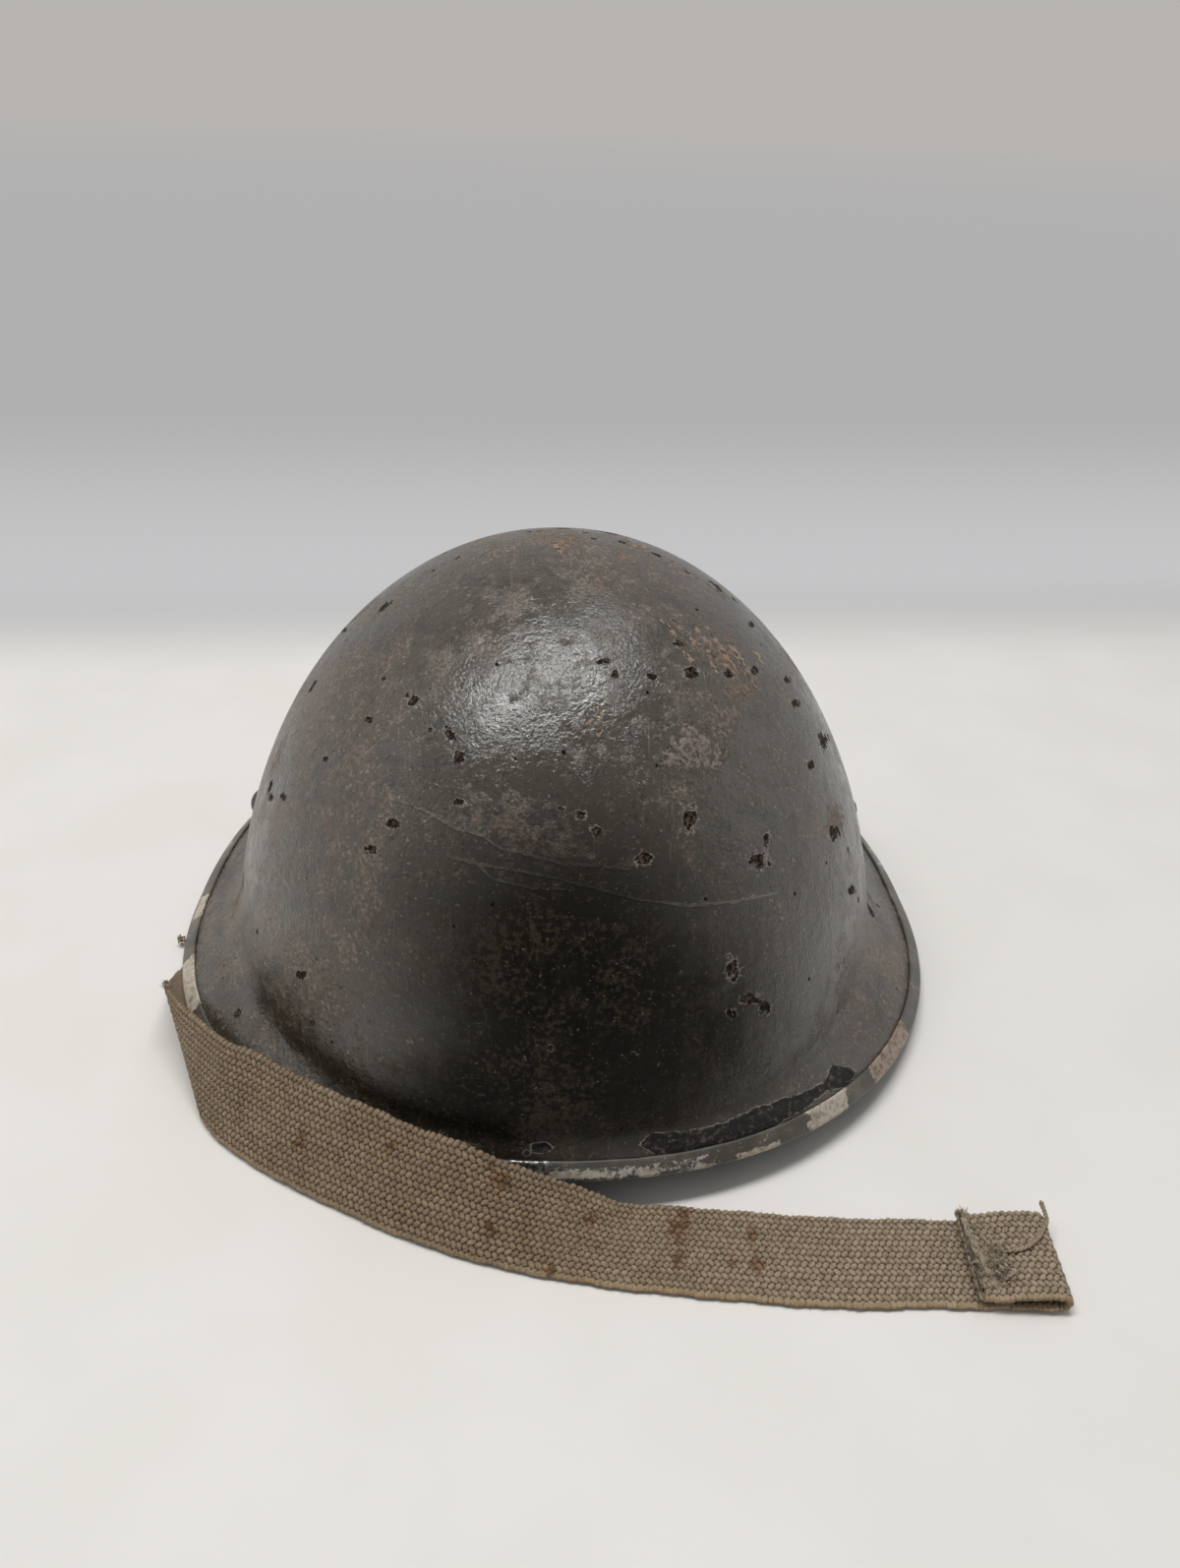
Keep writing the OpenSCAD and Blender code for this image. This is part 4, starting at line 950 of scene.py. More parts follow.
# Yarn heights: the weave, and stitches along the near edge; each yarn is a little different
selvedge = smooth((-v - 11.5) / 0.7)
stitch = np.abs(np.sin(math.pi * (u / 1.28 + 0.12 * np.sin(u * 1.3)))) ** 0.6
height = (1 - selvedge) * weave(u, v) + selvedge * (0.3 + 0.7 * stitch)
lump = 0.1 * np.sin(u * 0.55 + v * 0.9) * np.sin(u * 0.21 - v * 0.4 + 2)
body = np.sqrt(np.clip(1 - np.clip((np.abs(v) - 11.9) / 1.12, 0, 1) ** 2, 0, 1))
half = (0.4 + 0.54 * height * (1 - 0.3 * selvedge) + 0.1 * lump) * body
# the inner face is plainer where the strap leans on the rim
PLAIN = 0.75
plain = smooth((100 - u) / 8) * smooth((u - 60) / 10)
half_inner = half - 0.54 * PLAIN * plain * (height - 0.75) * body
# the edges wander a little, and yarns stand out along the far one
wander = 0.16 * np.sin(along * 0.31) + 0.12 * np.sin(along * 0.83 + 1) + 0.07 * np.sin(along * 2.1 + 2)
knobs = weave(u, 0 * v + 12.2)
scallop = np.where(v < 0, -0.2 * (stitch - 0.6) * selvedge, 0.55 * (knobs - 0.6) * smooth((v - 10.5) / 2))
sideways = wander[:, None] * (np.abs(w - 0.5) * 2)[None, :] ** 6 + scallop
centre = strap_line[:, :1] + across_line[:, None] * w[None, :, None]
centre = centre + line_unit[:, None] * sideways[..., None]
outer_face = centre + strap_normal[:, None] * half[..., None]
inner_face = centre - strap_normal[:, None] * half_inner[..., None]


def round_rings(top, under):
    """Fields of the strap's two faces as rings round it."""
    return np.concatenate([top, under[:, ::-1][:, 1:-1]], 1)


strap_rings = round_rings(outer_face, inner_face)
strap_rings[..., 2] = np.maximum(strap_rings[..., 2], LOWEST)
ring_u, ring_v = round_rings(u, u), round_rings(v, v)
ring_plain = round_rings(0 * u, plain)
ring_height = round_rings(height, height)
ring_height = ring_height + (0.75 - ring_height) * PLAIN * ring_plain
STRAP_LENGTH = along[-1]

# Rust on the strap: pixels and size
STRAP_RUST = [
    (305, 1160, 9), (398, 1165, 7), (510, 1200, 13), (500, 1184, 7), (500, 1250, 10), (600, 1240, 10),
    (690, 1248, 15), (694, 1236, 9), (690, 1280, 9), (765, 1256, 8), (770, 1284, 10), (745, 1284, 6),
    (560, 1292, 7),
]
strap_pixels = to_pixels(strap_rings)
rust_marks = np.zeros(strap_rings.shape[:2])
for px, py, size in STRAP_RUST:
    away = np.hypot(strap_pixels[..., 0] - px, strap_pixels[..., 1] - py)
    rust_marks = np.maximum(rust_marks, np.clip(1 - away / (size * 1.5), 0, 1))


def webbing_material():
    s = Shader("webbing")
    uv = s.attribute("strap_place", "Vector")
    broad = s.noise(14, 3, 0.6, vector=uv)
    patch = s.noise(5, 4, 0.65, vector=uv)
    fibre = s.noise(0.4, 3, 0.65, vector=s.stretch((0.5, 1.4, 1), uv))
    each = s.noise(1.9, 1, 0.5, vector=uv)
    ochre_steps = s.steps(s.noise(3.0, 3, vector=uv), 0.4, 0.65)
    marks = s.ragged(s.attribute("rust_mark"), s.noise(2.2, 5, 0.72, vector=uv), 2.6)
    color = s.coats(
        s.tones(broad, 0.35, 0.65, (0.205, 0.138, 0.076), (0.275, 0.196, 0.118)),
        (s.steps(patch, 0.42, 0.7), 0.45, (0.335, 0.25, 0.158)),
        (s.steps(patch, 0.45, 0.28), 0.5, (0.14, 0.09, 0.05)),
        (s.attribute("far_end"), 0.7, (0.375, 0.3, 0.212)),
        (s.steps(each, 0.58, 0.4), 0.48, (0.105, 0.07, 0.04)),
        (s.attribute("selvedge"), 0.55, s.mix(ochre_steps, (0.3, 0.195, 0.09), (0.38, 0.28, 0.165))),
        (s.steps(fibre, 0.42, 0.66), 0.44, (0.47, 0.38, 0.27)),
        (s.steps(marks, 0.3, 0.7), 0.84,
         s.tones(each, 0.4, 0.6, (0.085, 0.038, 0.015), (0.205, 0.102, 0.044))),
        # painted shade: dark colour in the gaps between the yarns
        (s.steps(s.attribute("yarn"), 0.78, 0.16), s.steps(patch, 0.35, 0.6, 0.97, 0.82),
         (0.034, 0.023, 0.014)),
        # painted shade: the inner face made darker where it lies under the rim
        (s.attribute("inner_face"), 0.6,
         s.tones(fibre, 0.35, 0.65, (0.098, 0.066, 0.042), (0.185, 0.13, 0.085))),
    )
    height = s.pile(s.times(fibre, 0.12), (s.noise(0.25, 2, 0.6, vector=uv), 0.06))
    sockets = {"Specular_IOR_Level": 0.15, "Sheen_Weight": 0.12, "Sheen_Roughness": 0.6}
    return s.finish(color, 0.95, s.bump(height), **sockets)


def end_caps(index):
    return [[int(n) for n in index[0]], [int(n) for n in index[-1][::-1]]]


rings, corners = strap_rings.shape[:2]
index = np.arange(rings * corners).reshape(rings, corners)
strap_quads = quads_between(index[:-1], index[1:])
strap = quads_mesh("chinstrap", strap_rings.reshape(-1, 3), strap_quads, webbing_material(), end_caps(index))
places = np.stack([ring_u, ring_v, round_rings(0 * u, 0 * u + 1) * 40], -1)
set_attributes(
    strap, strap_place=places, yarn=ring_height, selvedge=round_rings(selvedge, selvedge),
    rust_mark=rust_marks, inner_face=ring_plain, far_end=smooth((ring_u - 230) / 120),
)
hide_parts("chinstrap_fold", "chinstrap_hang", "chinstrap_run", "chinstrap_end")
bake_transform(strap)


def on_strap(px, py, lift=0.0):
    """The strap's nearest point to the camera at a pixel, raised by some millimetres."""
    away = np.hypot(strap_pixels[..., 0] - px, strap_pixels[..., 1] - py)
    depth = np.where(away < 5, (strap_rings - EYE) @ VIEW_IN + away, 1e9)
    return strap_rings.reshape(-1, 3)[depth.argmin()] + (0, 0, lift)


def path_frame(path):
    """Two directions square to a path at each of its points."""
    ahead = unit(np.gradient(path, axis=0))
    side = unit(np.cross(ahead, (0.31, 0.22, 0.92)))
    return side, np.cross(side, ahead)


def tubes_mesh(name, tubes, corners, material):
    """One mesh of many closed tubes, each a path in millimetres and the radii along it."""
    points, tube_quads, ends, first = [], [], [], 0
    turns = np.arange(corners) / corners * TURN
    for path, radii in tubes:
        side, up = path_frame(path)
        spokes = side[:, None] * np.cos(turns)[None, :, None] + up[:, None] * np.sin(turns)[None, :, None]
        rings = path[:, None] + np.broadcast_to(radii, len(path))[:, None, None] * spokes
        rings[..., 2] = np.maximum(rings[..., 2], LOWEST)
        index = first + np.arange(len(path) * corners).reshape(len(path), corners)
        tube_quads.append(quads_between(index[:-1], index[1:]))
        ends += end_caps(index)
        points.append(rings.reshape(-1, 3))
        first += len(path) * corners
    return quads_mesh(name, np.concatenate(points), np.concatenate(tube_quads), material, ends)


def fibre(start, toward, length, curl, radius, count=8):
    """A fibre that curls as it goes and thins toward its end, for tubes_mesh."""
    point, heading, path = np.array(start, float), unit(np.array(toward, float)), []
    for _ in range(count):
        path.append(point)
        heading = unit(heading + rng.normal(0, curl, 3))
        point = point + heading * length / count
        point[2] = max(point[2], FIBRE_LOWEST)
    return np.array(path), radius * np.linspace(1, 0.45, count)


def smooth_path(points, count):
    return np.array(catmull(points, count) + [points[-1]])


def yarn_material(name, dark, middle, light):
    s = Shader(name)
    fine, clump = s.noise(0.35, 3, 0.65), s.noise(1.3, 4, 0.65)
    color = s.mix(s.steps(clump, 0.38, 0.6), dark, middle)
    color = s.coats(color, (s.steps(fine, 0.45, 0.65), 0.7, light))
    sockets = {"Specular_IOR_Level": 0.15, "Sheen_Weight": 0.15, "Sheen_Roughness": 0.6}
    return s.finish(color, 0.95, s.bump(fine, depth=0.06), **sockets)


frayed = yarn_material("frayed_yarn", (0.19, 0.146, 0.1), (0.3, 0.24, 0.17), (0.44, 0.36, 0.265))
loose = yarn_material("loose_thread", (0.2, 0.15, 0.098), (0.3, 0.24, 0.165), (0.44, 0.36, 0.255))

# Pixels on the strap, with a height in millimetres where there are three: the tuft's middle and the
# lowest rows of its yarns and fibres, the seam's far end, the left bend, and the knot behind it
TUFT_X, TUFT_Y, YARNS_END, FIBRES_END = 1014, 1288, 1306, 1310
SEAM_END, LEFT_BEND, KNOT = (979, 1225, 5.5), (172, 1003), (185, 955, 2.4)
# The knot's foot on the rim, and where along the strap its edges begin and stop to fray, in millimetres
KNOT_FOOT = np.array([-117.6, -28.6, 1.2])
FRAY_START, FRAY_MARGIN = 74, 3
# How many strands, yarns and fibres there are in each place
STRANDS, TUFT_YARNS, TUFT_FIBRES, END_FIBRES = 64, 46, 150, 26
BEND_FIBRES, KNOT_YARNS, KNOT_LINKS, EDGE_FIBRES = 20, 34, 9, 420

# The seam's frayed roll: a core, strands round it, and a tuft
SEAM_LINE = [
    (980, 1236), (983, 1247), (988, 1259), (994, 1271), (1001, 1284), (1008, 1297), (1015, 1308),
    (1020, 1314),
]
roll = smooth_path([on_strap(px, py, -0.75) for px, py in SEAM_LINE], 9)
roll = blur(roll, 9)[2:-2]
steps = np.arange(len(roll))
seam_tubes = [(roll, 1.15 + 0.14 * np.sin(steps * 0.7) + 0.1 * np.sin(steps * 1.9))]
roll_side, roll_up = path_frame(roll)
for _ in range(STRANDS):
    first = rng.integers(0, len(roll) - 14)
    count = rng.integers(9, 14)
    part = slice(first, first + count)
    around = (rng.uniform(0, TURN) + np.linspace(0, rng.normal(0, 0.9), count))[:, None]
    away = (1.16 + 0.22 * rng.random()) + 0.12 * np.sin(np.arange(count) * 1.1)
    spokes = roll_side[part] * np.cos(around) + roll_up[part] * np.sin(around)
    seam_tubes.append((roll[part] + away[:, None] * spokes, rng.uniform(0.17, 0.36)))
for _ in range(TUFT_YARNS):
    spread = rng.normal(0, 1, 2)
    px, py = TUFT_X + 6.5 * spread[0] + 3 * spread[1], TUFT_Y + 9 * spread[1]
    start = on_strap(px, min(py, YARNS_END), rng.uniform(-0.1, 0.9))
    toward = (rng.normal(0.5, 0.8), rng.normal(-0.3, 0.8), rng.normal(0.15, 0.35))
    seam_tubes.append(fibre(start, toward, rng.uniform(1.5, 4.2), 0.75, rng.uniform(0.26, 0.52), 9))
seam = tubes_mesh("strap_seam", seam_tubes, 9, frayed)

# Loose fibres: the tuft's, the roll's far end, the left bend, the knot behind it, and the edges
fray_tubes = []
for _ in range(TUFT_FIBRES):
    spread = rng.normal(0, 1, 2)
    px, py = TUFT_X - 1 + 8 * spread[0] + 3 * spread[1], TUFT_Y + 11 * spread[1]
    start = on_strap(px, min(py, FIBRES_END), rng.uniform(0, 0.9))
    toward = (rng.normal(0.3, 1), rng.normal(-0.2, 1), abs(rng.normal(0.3, 0.5)))
    fray_tubes.append(fibre(start, toward, rng.uniform(1.2, 4.5), 0.6, rng.uniform(0.06, 0.15)))
for _ in range(END_FIBRES):
    start = roll[0] + rng.normal(0, 0.5, 3)
    toward = on_level(*SEAM_END) - start
    fray_tubes.append(fibre(start, toward, rng.uniform(2.5, 4.6), 0.14, rng.uniform(0.12, 0.26)))
for _ in range(BEND_FIBRES):
    start = on_strap(*LEFT_BEND) + rng.normal(0, 0.6, 3)
    toward = rng.normal((-1, 0.5, 0.2), 0.5)
    fray_tubes.append(fibre(start, toward, rng.uniform(1.2, 3.6), 0.3, rng.uniform(0.07, 0.16)))
knot_place = on_level(*KNOT)
for _ in range(KNOT_YARNS):
    start = knot_place + rng.normal(0, 0.55, 3)
    fray_tubes.append(fibre(start, rng.normal(0, 1, 3), rng.uniform(1.0, 2.6), 0.9, rng.uniform(0.16, 0.36)))
for _ in range(KNOT_LINKS):
    start = KNOT_FOOT + rng.normal(0, 0.4, 3)
    reach = knot_place - start
    fray_tubes.append(fibre(start, reach, np.linalg.norm(reach), 0.1, rng.uniform(0.15, 0.32)))
edge_rings = np.flatnonzero((along > FRAY_START) & (along < STRAP_LENGTH - FRAY_MARGIN))
edge_rings = rng.choice(edge_rings, EDGE_FIBRES)
for ring in edge_rings:
    edge = rng.choice([0, ACROSS - 1])
    outward = line_unit[ring] * (1 if edge else -1)
    toward = outward + rng.normal(0, 0.7, 3)
    start = strap_rings[ring, edge] - outward * 0.2
    fray_tubes.append(fibre(start, toward, rng.uniform(0.5, 1.7), 0.5, rng.uniform(0.045, 0.085), 5))
frays = tubes_mesh("strap_frays", fray_tubes, 4, frayed)

# The loose sewing thread: a thin length over the roll, and a thick one of two plies that stands up
THIN = [
    (982, 1234, 0.3), (987, 1243, 0.5), (994, 1253, 0.7), (1002, 1263, 0.7), (1011, 1270, 0.8),
    (1021, 1273.5, 0.7), (1030, 1273, 0.6),
]
THICK = [(1024, 1274, 0.6), (1036, 1272, 0.7), (1047, 1267.5, 0.7), (1056, 1259, 0.7), (1062, 1250, 0.9)]
THICK_END = [(1064.5, 1241, 6.5), (1062, 1231, 7.3), (1058.5, 1222, 8.0)]
thin = smooth_path([on_strap(*place) for place in THIN], 8)
thick = smooth_path([on_strap(*place) for place in THICK] + [on_level(*place) for place in THICK_END], 10)
thick_side, thick_up = path_frame(thick)
twist = np.linspace(0, 9.5 * TURN, len(thick))[:, None]
thickness = np.interp(np.arange(len(thick)), (0, 8, len(thick) - 9, len(thick) - 1), (0.16, 0.34, 0.34, 0.46))
thread_tubes = [(thin, 0.17)]
for phase in (0, math.pi):
    ply = 0.27 * (thick_side * np.cos(twist + phase) + thick_up * np.sin(twist + phase))
    thread_tubes.append((thick + ply, thickness))
thread = tubes_mesh("strap_thread", thread_tubes, 8, loose)
for piece in (seam, frays, thread):
    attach(piece, "bowl")


def spotted_material(name, noises, levels, colors, spots, relief, rough, strength=0.9, **sockets):
    """Two colours mixed by a grain, with spots of a third where a finer noise is high."""
    s = Shader(name)
    fine, grain = (s.noise(*noise) for noise in noises)
    color = s.coats(s.tones(grain, *levels, *colors), (s.steps(fine, *spots[:2]), 1, spots[2]))
    height = s.pile(s.times(fine, relief[0]), (grain, relief[1]))
    return s.finish(color, s.blend(grain, *rough), s.bump(height, strength), **sockets)


rivet_paint = spotted_material(
    "rivet_paint", ((0.6, 4, 0.7), (1.5, 4, 0.7)), (0.4, 0.62), ((0.04, 0.036, 0.031), (0.1, 0.08, 0.062)),
    (0.6, 0.7, (0.17, 0.1, 0.06)), (0.06, 0.06), (0.4, 0.7),
)
stud_steel = spotted_material(
    "stud_steel", ((0.5, 4, 0.7), (1.2, 4, 0.7)), (0.38, 0.62), ((0.075, 0.04, 0.03), (0.24, 0.125, 0.085)),
    (0.6, 0.72, (0.03, 0.02, 0.016)), (0.1, 0.12), (0.7, 0.7), Metallic=0.2,
)
brass = spotted_material(
    "tarnished_brass", ((0.5, 4, 0.7), (2.2, 5, 0.7)), (0.4, 0.64), ((0.4, 0.27, 0.1), (0.17, 0.105, 0.045)),
    (0.62, 0.72, (0.06, 0.07, 0.045)), (0.03, 0.03), (0.3, 0.62), 0.8, Metallic=0.9,
)


def steel_material():
    s = Shader("rusty_steel")
    fine, grain, broad = s.noise(0.5, 4, 0.7), s.noise(1.6, 5, 0.72), s.noise(6, 4, 0.6)
    bare = s.mix(fine, (0.15, 0.14, 0.13), (0.27, 0.255, 0.24))
    rusty = s.ragged_steps(grain, broad, 0.9, 0.42, 0.62)
    brown = s.mix(s.noise(0.9, 4), (0.075, 0.035, 0.018), (0.21, 0.105, 0.048))
    height = s.pile(s.times(fine, 0.04), (s.times(grain, rusty), 0.16))
    metal = s.math("SUBTRACT", 0.9, s.times(rusty, 0.85))
    color = s.coats(bare, (rusty, 0.9, brown))
    return s.finish(color, s.blend(rusty, 0.42, 0.82), s.bump(height, 0.9), Metallic=metal)


def fibre_material():
    s = Shader("vulcanised_fibre")
    long = s.noise(1.0, 4, 0.65, vector=s.stretch((0.35, 0.35, 1.6)))
    broad, fine = s.noise(18, 4, 0.6), s.noise(0.5, 3, 0.6)
    scuff = s.steps(s.add(s.noise(5, 5, 0.75), s.times(broad, 0.3)), 0.72, 0.8)
    color = s.coats(
        s.tones(broad, 0.38, 0.66, (0.036, 0.022, 0.015), (0.078, 0.048, 0.031)),
        (s.steps(long, 0.55, 0.75), 0.5, (0.125, 0.082, 0.052)),
        (scuff, 0.6, (0.17, 0.12, 0.085)),
    )
    height = s.pile(s.times(long, 0.08), (fine, 0.03))
    return s.finish(color, s.blend(scuff, 0.38, 0.6), s.bump(height, 0.8), Specular_IOR_Level=0.45)


def leather_material():
    s = Shader("leathercloth")
    grain = s.cells(1.5, feature="DISTANCE_TO_EDGE")
    fine, broad, thread = s.noise(0.4, 3, 0.6), s.noise(14, 4, 0.6), s.attribute("thread")
    worn = s.steps(s.add(s.noise(4, 5, 0.75), s.times(broad, 0.35)), 0.72, 0.82)
    color = s.coats(
        s.tones(broad, 0.38, 0.66, (0.022, 0.014, 0.01), (0.052, 0.033, 0.024)),
        (s.steps(grain, 0.1, 0.0), 0.6, (0.012, 0.008, 0.006)),
        (worn, 0.55, (0.13, 0.088, 0.062)),
        (thread, 1, (0.3, 0.23, 0.15)),
    )
    height = s.pile(s.times(s.steps(grain, 0.0, 0.22), 0.12), (fine, 0.03))
    rough = s.settle(s.blend(worn, 0.4, 0.65), (thread, 0.85))
    return s.finish(color, rough, s.bump(height, 0.8), Specular_IOR_Level=0.5)


def rubber_material(name, open_cells):
    s = Shader(name)
    fine, broad = s.noise(0.6, 4, 0.65), s.noise(9, 4, 0.6)
    bloom = s.steps(s.add(s.noise(3, 4, 0.7), s.times(broad, 0.3)), 0.62, 0.82)
    color = s.tones(broad, 0.38, 0.66, (0.016, 0.015, 0.014), (0.04, 0.036, 0.032))
    color = s.coats(color, (bloom, 0.5, (0.085, 0.078, 0.07)))
    height = s.times(fine, 0.06)
    if open_cells:
        bubble = s.steps(s.cells(0.9), 0.42, 0.15)
        color = s.coats(color, (bubble, 0.6, (0.006, 0.006, 0.005)))
        height = s.pile(height, (bubble, -0.22))
    return s.finish(color, 0.82, s.bump(height, 0.9), Specular_IOR_Level=0.3)


# The pieces that show the solids' own meshes: the finish, then the nodes it goes on
BUFFERS = [f"buffer_{end}_{side}" for end in ("front", "side", "rear") for side in ("left", "right")]
FINISHES = [
    (steel_material(), ["lug_left", "lug_right", "wire_loop_left", "wire_loop_right"]),
    (fibre_material(), ["crown_band_long", "crown_band_cross", "liner_band"]),
    (brass, ["crown_socket", "band_rivets"]),
    (rubber_material("aged_rubber", False), BUFFERS),
    (stud_steel, ["crown_stud"]),
    (rivet_paint, ["lug_rivet_left", "lug_rivet_right"]),
]
# Edges that are softened, in millimetres
EDGES = {"crown_socket": 0.25}
EDGES.update({name: 0.35 for name in ("lug_left", "lug_right")})
EDGES.update({name: 0.3 for name in ("crown_band_long", "crown_band_cross")})
EDGES.update({name: 0.9 for name in BUFFERS})
WELD_DISTANCE = 0.00001
EDGE_ANGLE = math.radians(35)
for finish, names in FINISHES:
    for name in names:
        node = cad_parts[name]
        for slot in node.material_slots:
            slot.material = finish
        if not node.material_slots:
            node.data.materials.append(finish)
for name, width in EDGES.items():
    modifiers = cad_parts[name].modifiers
    modifiers.new("weld", "WELD").merge_threshold = WELD_DISTANCE
    bevel = modifiers.new("bevel", "BEVEL")
    bevel.width = width * MM
    bevel.segments = 3
    bevel.limit_method = "ANGLE"
    bevel.angle_limit = EDGE_ANGLE

# The sweatband, from the same sizes as part.scad
HEAD_HALF, HEAD_LENGTH, HEAD_POWER, HEAD_FORWARD = 78.99, 99.97, 2.15, 12.01
BAND_BOTTOM, BAND_HEIGHT, BAND_OUTER, LAYER_GAP = 32, 34, 3.1, 0.1
SWEAT_COUNT, STITCH_LENGTH = 720, 3.4


def oval(turns, grow):
    r = power_radius(turns, HEAD_HALF + grow, HEAD_LENGTH + grow, HEAD_POWER)
    return np.stack([r * np.cos(turns), r * np.sin(turns) - HEAD_FORWARD], -1)


def sweatband():
    """Leathercloth inside the fibre band, turned under its edge and up outside, with its stitches."""
    low = BAND_BOTTOM - LAYER_GAP
    top = low + BAND_HEIGHT
    out0 = BAND_OUTER + LAYER_GAP
    section = [(0.55, top - 0.1), (0.2, top - 0.5), (0.05, top - 1.4)]
    for k in range(1, 15):
        section.append((0.02 - 0.35 * math.sin(math.pi * k / 15), top - 1.4 - (BAND_HEIGHT - 3.6) * k / 15))
    section += [(0.05, low + 1.6), (0.15, low), (0.5, low - 0.8), (1.2, low - 1.35), (2.2, low - 1.55)]
    section += [(3.2, low - 1.55), (4.0, low - 1.3), (4.55, low - 0.7), (4.75, low + 0.2)]
    section += [(4.8, low + 1.5), (4.78, low + 3.2), (4.72, low + 4.7), (4.45, low + 5.3), (3.9, low + 5.38)]
    section += [(out0 + 0.02, low + 5.3), (out0, low + 3), (out0, low + 0.2), (2.6, low), (1.68, low + 0.1)]
    section += [(1.6, low + 1), (1.6, low + 10), (1.6, low + 22), (1.6, top - 0.6), (1.2, top - 0.1)]
    section = np.array(section)
    turns = np.arange(SWEAT_COUNT) / SWEAT_COUNT * TURN
    rings = np.empty((len(section), SWEAT_COUNT, 3))
    thread = np.zeros((len(section), SWEAT_COUNT))
    girth = np.cumsum(np.linalg.norm(np.diff(oval(turns, 0), axis=0, prepend=oval(turns[-1:], 0)), axis=1))
    for k, (grow, z) in enumerate(section):
        soft = 0.16 * np.sin(girth * 0.21 + z * 0.3) + 0.1 * np.sin(girth * 0.57 - z * 0.22)
        inside = grow < 0.3
        rings[k, :, :2] = oval(turns, grow + (soft if inside else 0.25 * soft))
        rings[k, :, 2] = z
        if inside and abs(z - (low + 3.4)) < 1.3 or 4.6 < grow and abs(z - (low + 3.2)) < 0.6:
            thread[k] = smooth((np.sin(girth * TURN / STITCH_LENGTH) + 0.15) * 3)
            lift = oval(turns, grow + (-0.25 if inside else 0.2)) - oval(turns, grow)
            rings[k, :, :2] += lift * thread[k][:, None]
    obj = grid_mesh("sweatband_visual", rings, leather_material(), closed=True)
    set_attributes(obj, thread=thread)
    return obj


def soft_copy(node, name, voxel, material):
    """A rounded, closed copy of a CAD node for foam."""
    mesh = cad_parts[node].data.copy()
    mesh.materials.clear()
    obj = bpy.data.objects.new(name, mesh)
    scene.collection.objects.link(obj)
    remesh = obj.modifiers.new("remesh", "REMESH")
    remesh.mode, remesh.voxel_size = "VOXEL", voxel * MM
    relax = obj.modifiers.new("relax", "SMOOTH")
    relax.factor, relax.iterations = 0.5, 5
    graph = bpy.context.evaluated_depsgraph_get()
    final = bpy.data.meshes.new_from_object(obj.evaluated_get(graph))
    obj.modifiers.clear()
    obj.data = final
    final.polygons.foreach_set("use_smooth", np.ones(len(final.polygons), bool))
    final.materials.clear()
    final.materials.append(material)
    return obj


sweat = sweatband()
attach(sweat, "liner")
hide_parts("sweatband")
pad = soft_copy("crown_pad", "crown_pad_visual", 0.8, rubber_material("sponge_rubber", True))
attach(pad, "liner")
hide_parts("crown_pad")

# The floor turns into an even grey backdrop from a line behind the object, drawn in pixels
BACKDROP = (0.474, 0.455, 0.445)
BACK_LINE = ((20, 634), (1180, 622))
# in millimetres: how far the floor goes, and where it fades
FLOOR_REACH, BACK_SOFTNESS, FLOOR_FADE, GREY_FADE = 20000, 70, (900, 3000), (1300, 8000)
far_left, far_right = (on_level(*place) for place in BACK_LINE)
back_run = unit((far_right - far_left)[:2])
back_out = np.array([-back_run[1], back_run[0]])
back_start = float(far_left[:2] @ back_out)


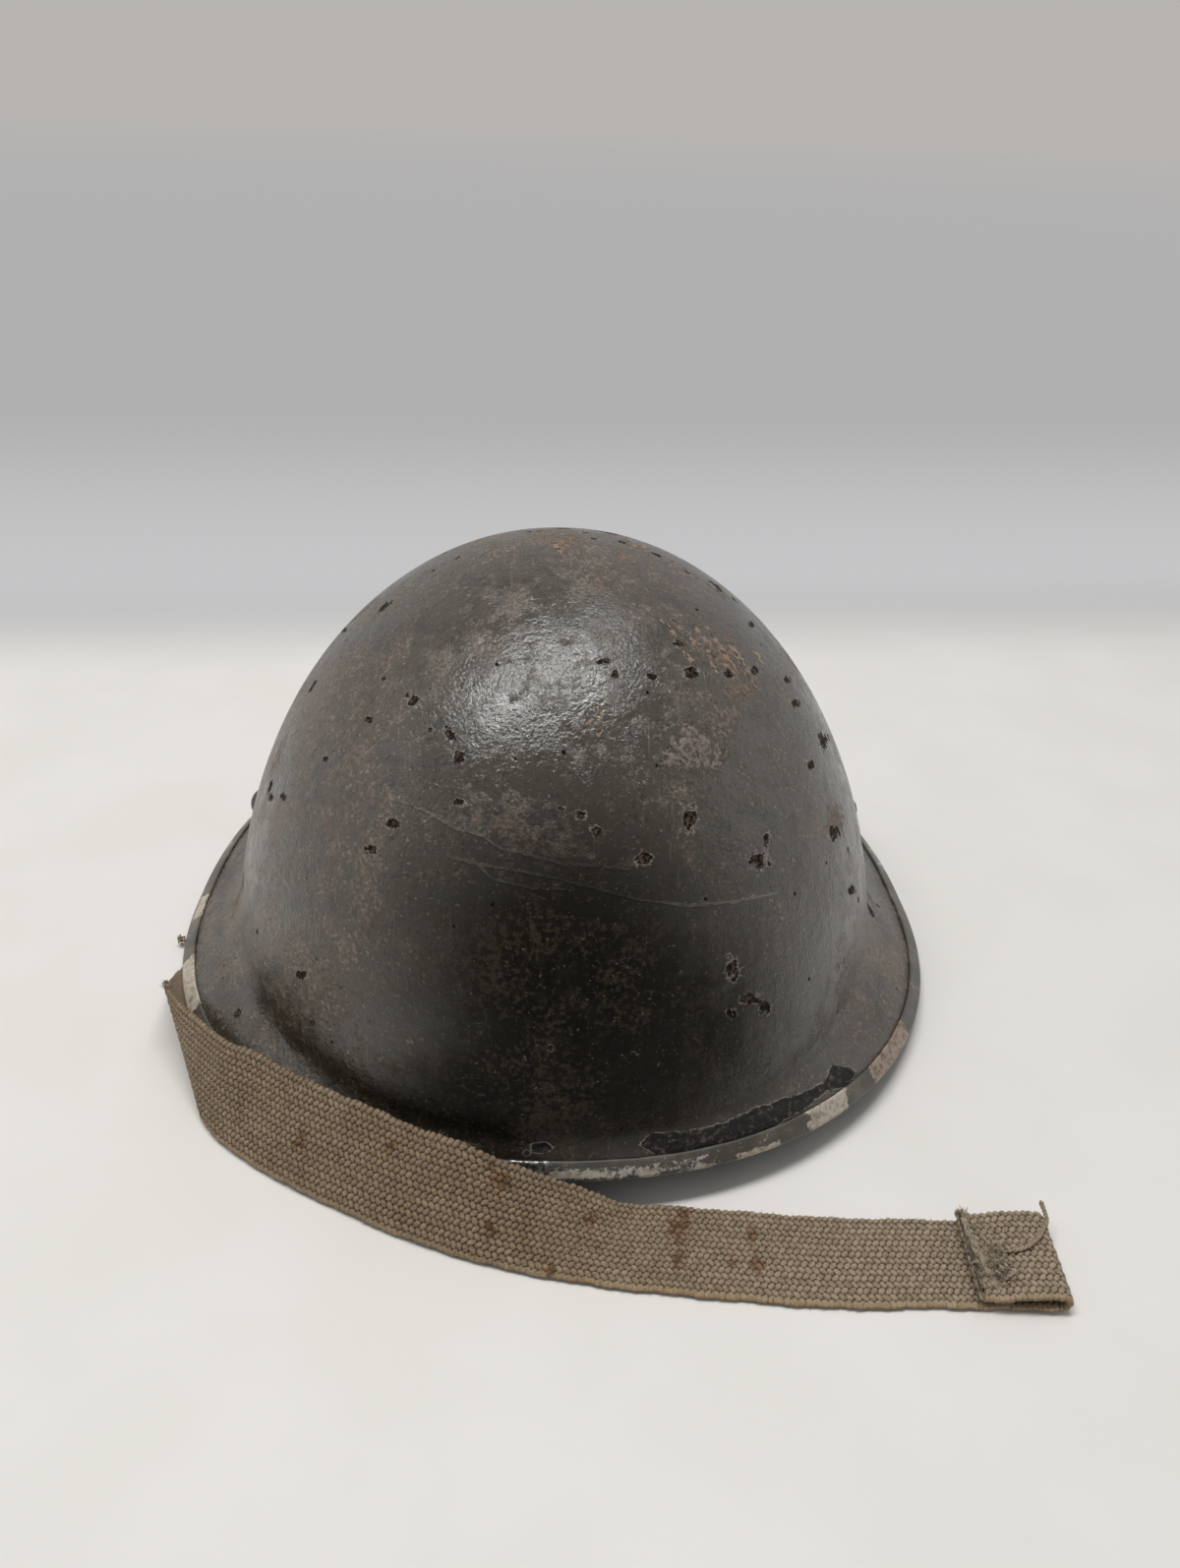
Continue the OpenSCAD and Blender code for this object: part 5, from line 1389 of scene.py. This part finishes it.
def floor_material():
    s = Shader("studio_floor")
    behind = s.node("VectorMath", {0: s.mm, 1: (*back_out, 0)}, operation="DOT_PRODUCT").outputs["Value"]
    away = s.length(s.mm)
    floor = s.tones(s.noise(60, 3, 0.5), 0.4, 0.6, (0.765, 0.74, 0.7), (0.785, 0.76, 0.725))
    share = s.steps(behind, back_start - BACK_SOFTNESS, back_start + BACK_SOFTNESS)
    s.finish(s.mix(share, floor, (0.45, 0.45, 0.455)), 0.55, Specular_IOR_Level=0.25)
    # painted light: behind the line the floor glows grey for camera, mirror and glass rays, lighter near the
    # line and darker farther back
    grey = s.tones(behind, back_start + 50, back_start + 480, (0.56, 0.56, 0.57), (0.436, 0.436, 0.44))
    grey = s.mix(s.steps(away, *GREY_FADE), grey, BACKDROP)
    backdrop = s.times(s.most(share, s.steps(away, *FLOOR_FADE)), s.seen_rays())
    mixed = s.mix_shaders(backdrop, s.bsdf, s.node("Emission", {"Color": grey}))
    # nothing hides the object from below
    below = s.node("NewGeometry").outputs["Backfacing"]
    both = s.mix_shaders(below, mixed, s.node("BsdfTransparent"))
    s.put(both.outputs[0], s.tree.nodes["Material Output"].inputs["Surface"])
    return s.material


floor_ends = (-FLOOR_REACH, FLOOR_REACH)
corners = np.array([[(x, y, 0) for x in floor_ends] for y in floor_ends], float)
floor = grid_mesh("studio_floor", corners, floor_material())

world = bpy.data.worlds.new("studio")
scene.world = world
sky = Nodes(world)
light_sky = sky.tree.nodes["Background"]
sky.put((0.98, 0.99, 1.0), light_sky.inputs["Color"])
sky.put(0.28, light_sky.inputs["Strength"])
mixed_sky = sky.mix_shaders(sky.seen_rays(), light_sky, sky.node("Background", {"Color": BACKDROP}))
sky.put(mixed_sky.outputs[0], sky.tree.nodes["World Output"].inputs["Surface"])


def area_light(name, place, aim, size, power):
    data = bpy.data.lights.new(name, "AREA")
    data.shape = "RECTANGLE"
    data.size, data.size_y = size
    data.energy = power
    lamp = bpy.data.objects.new(name, data)
    lamp.location = place
    lamp.rotation_mode = "QUATERNION"
    lamp.rotation_quaternion = (Vector(aim) - Vector(place)).to_track_quat("-Z", "Y")
    scene.collection.objects.link(lamp)


area_light("overhead", (-0.17, -0.06, 1.25), (0, -0.02, 0), (0.24, 1.05), 11.6)
area_light("overhead right", (0.36, 0.42, 1.25), (0, 0, 0), (0.4, 0.4), 1.2)
area_light("left wall", (-1.25, 0.1, 0.55), (0, 0, 0.06), (1.1, 0.8), 1.4)
area_light("right wall", (1.25, 0.1, 0.55), (0, 0, 0.06), (1.1, 0.8), 1.15)
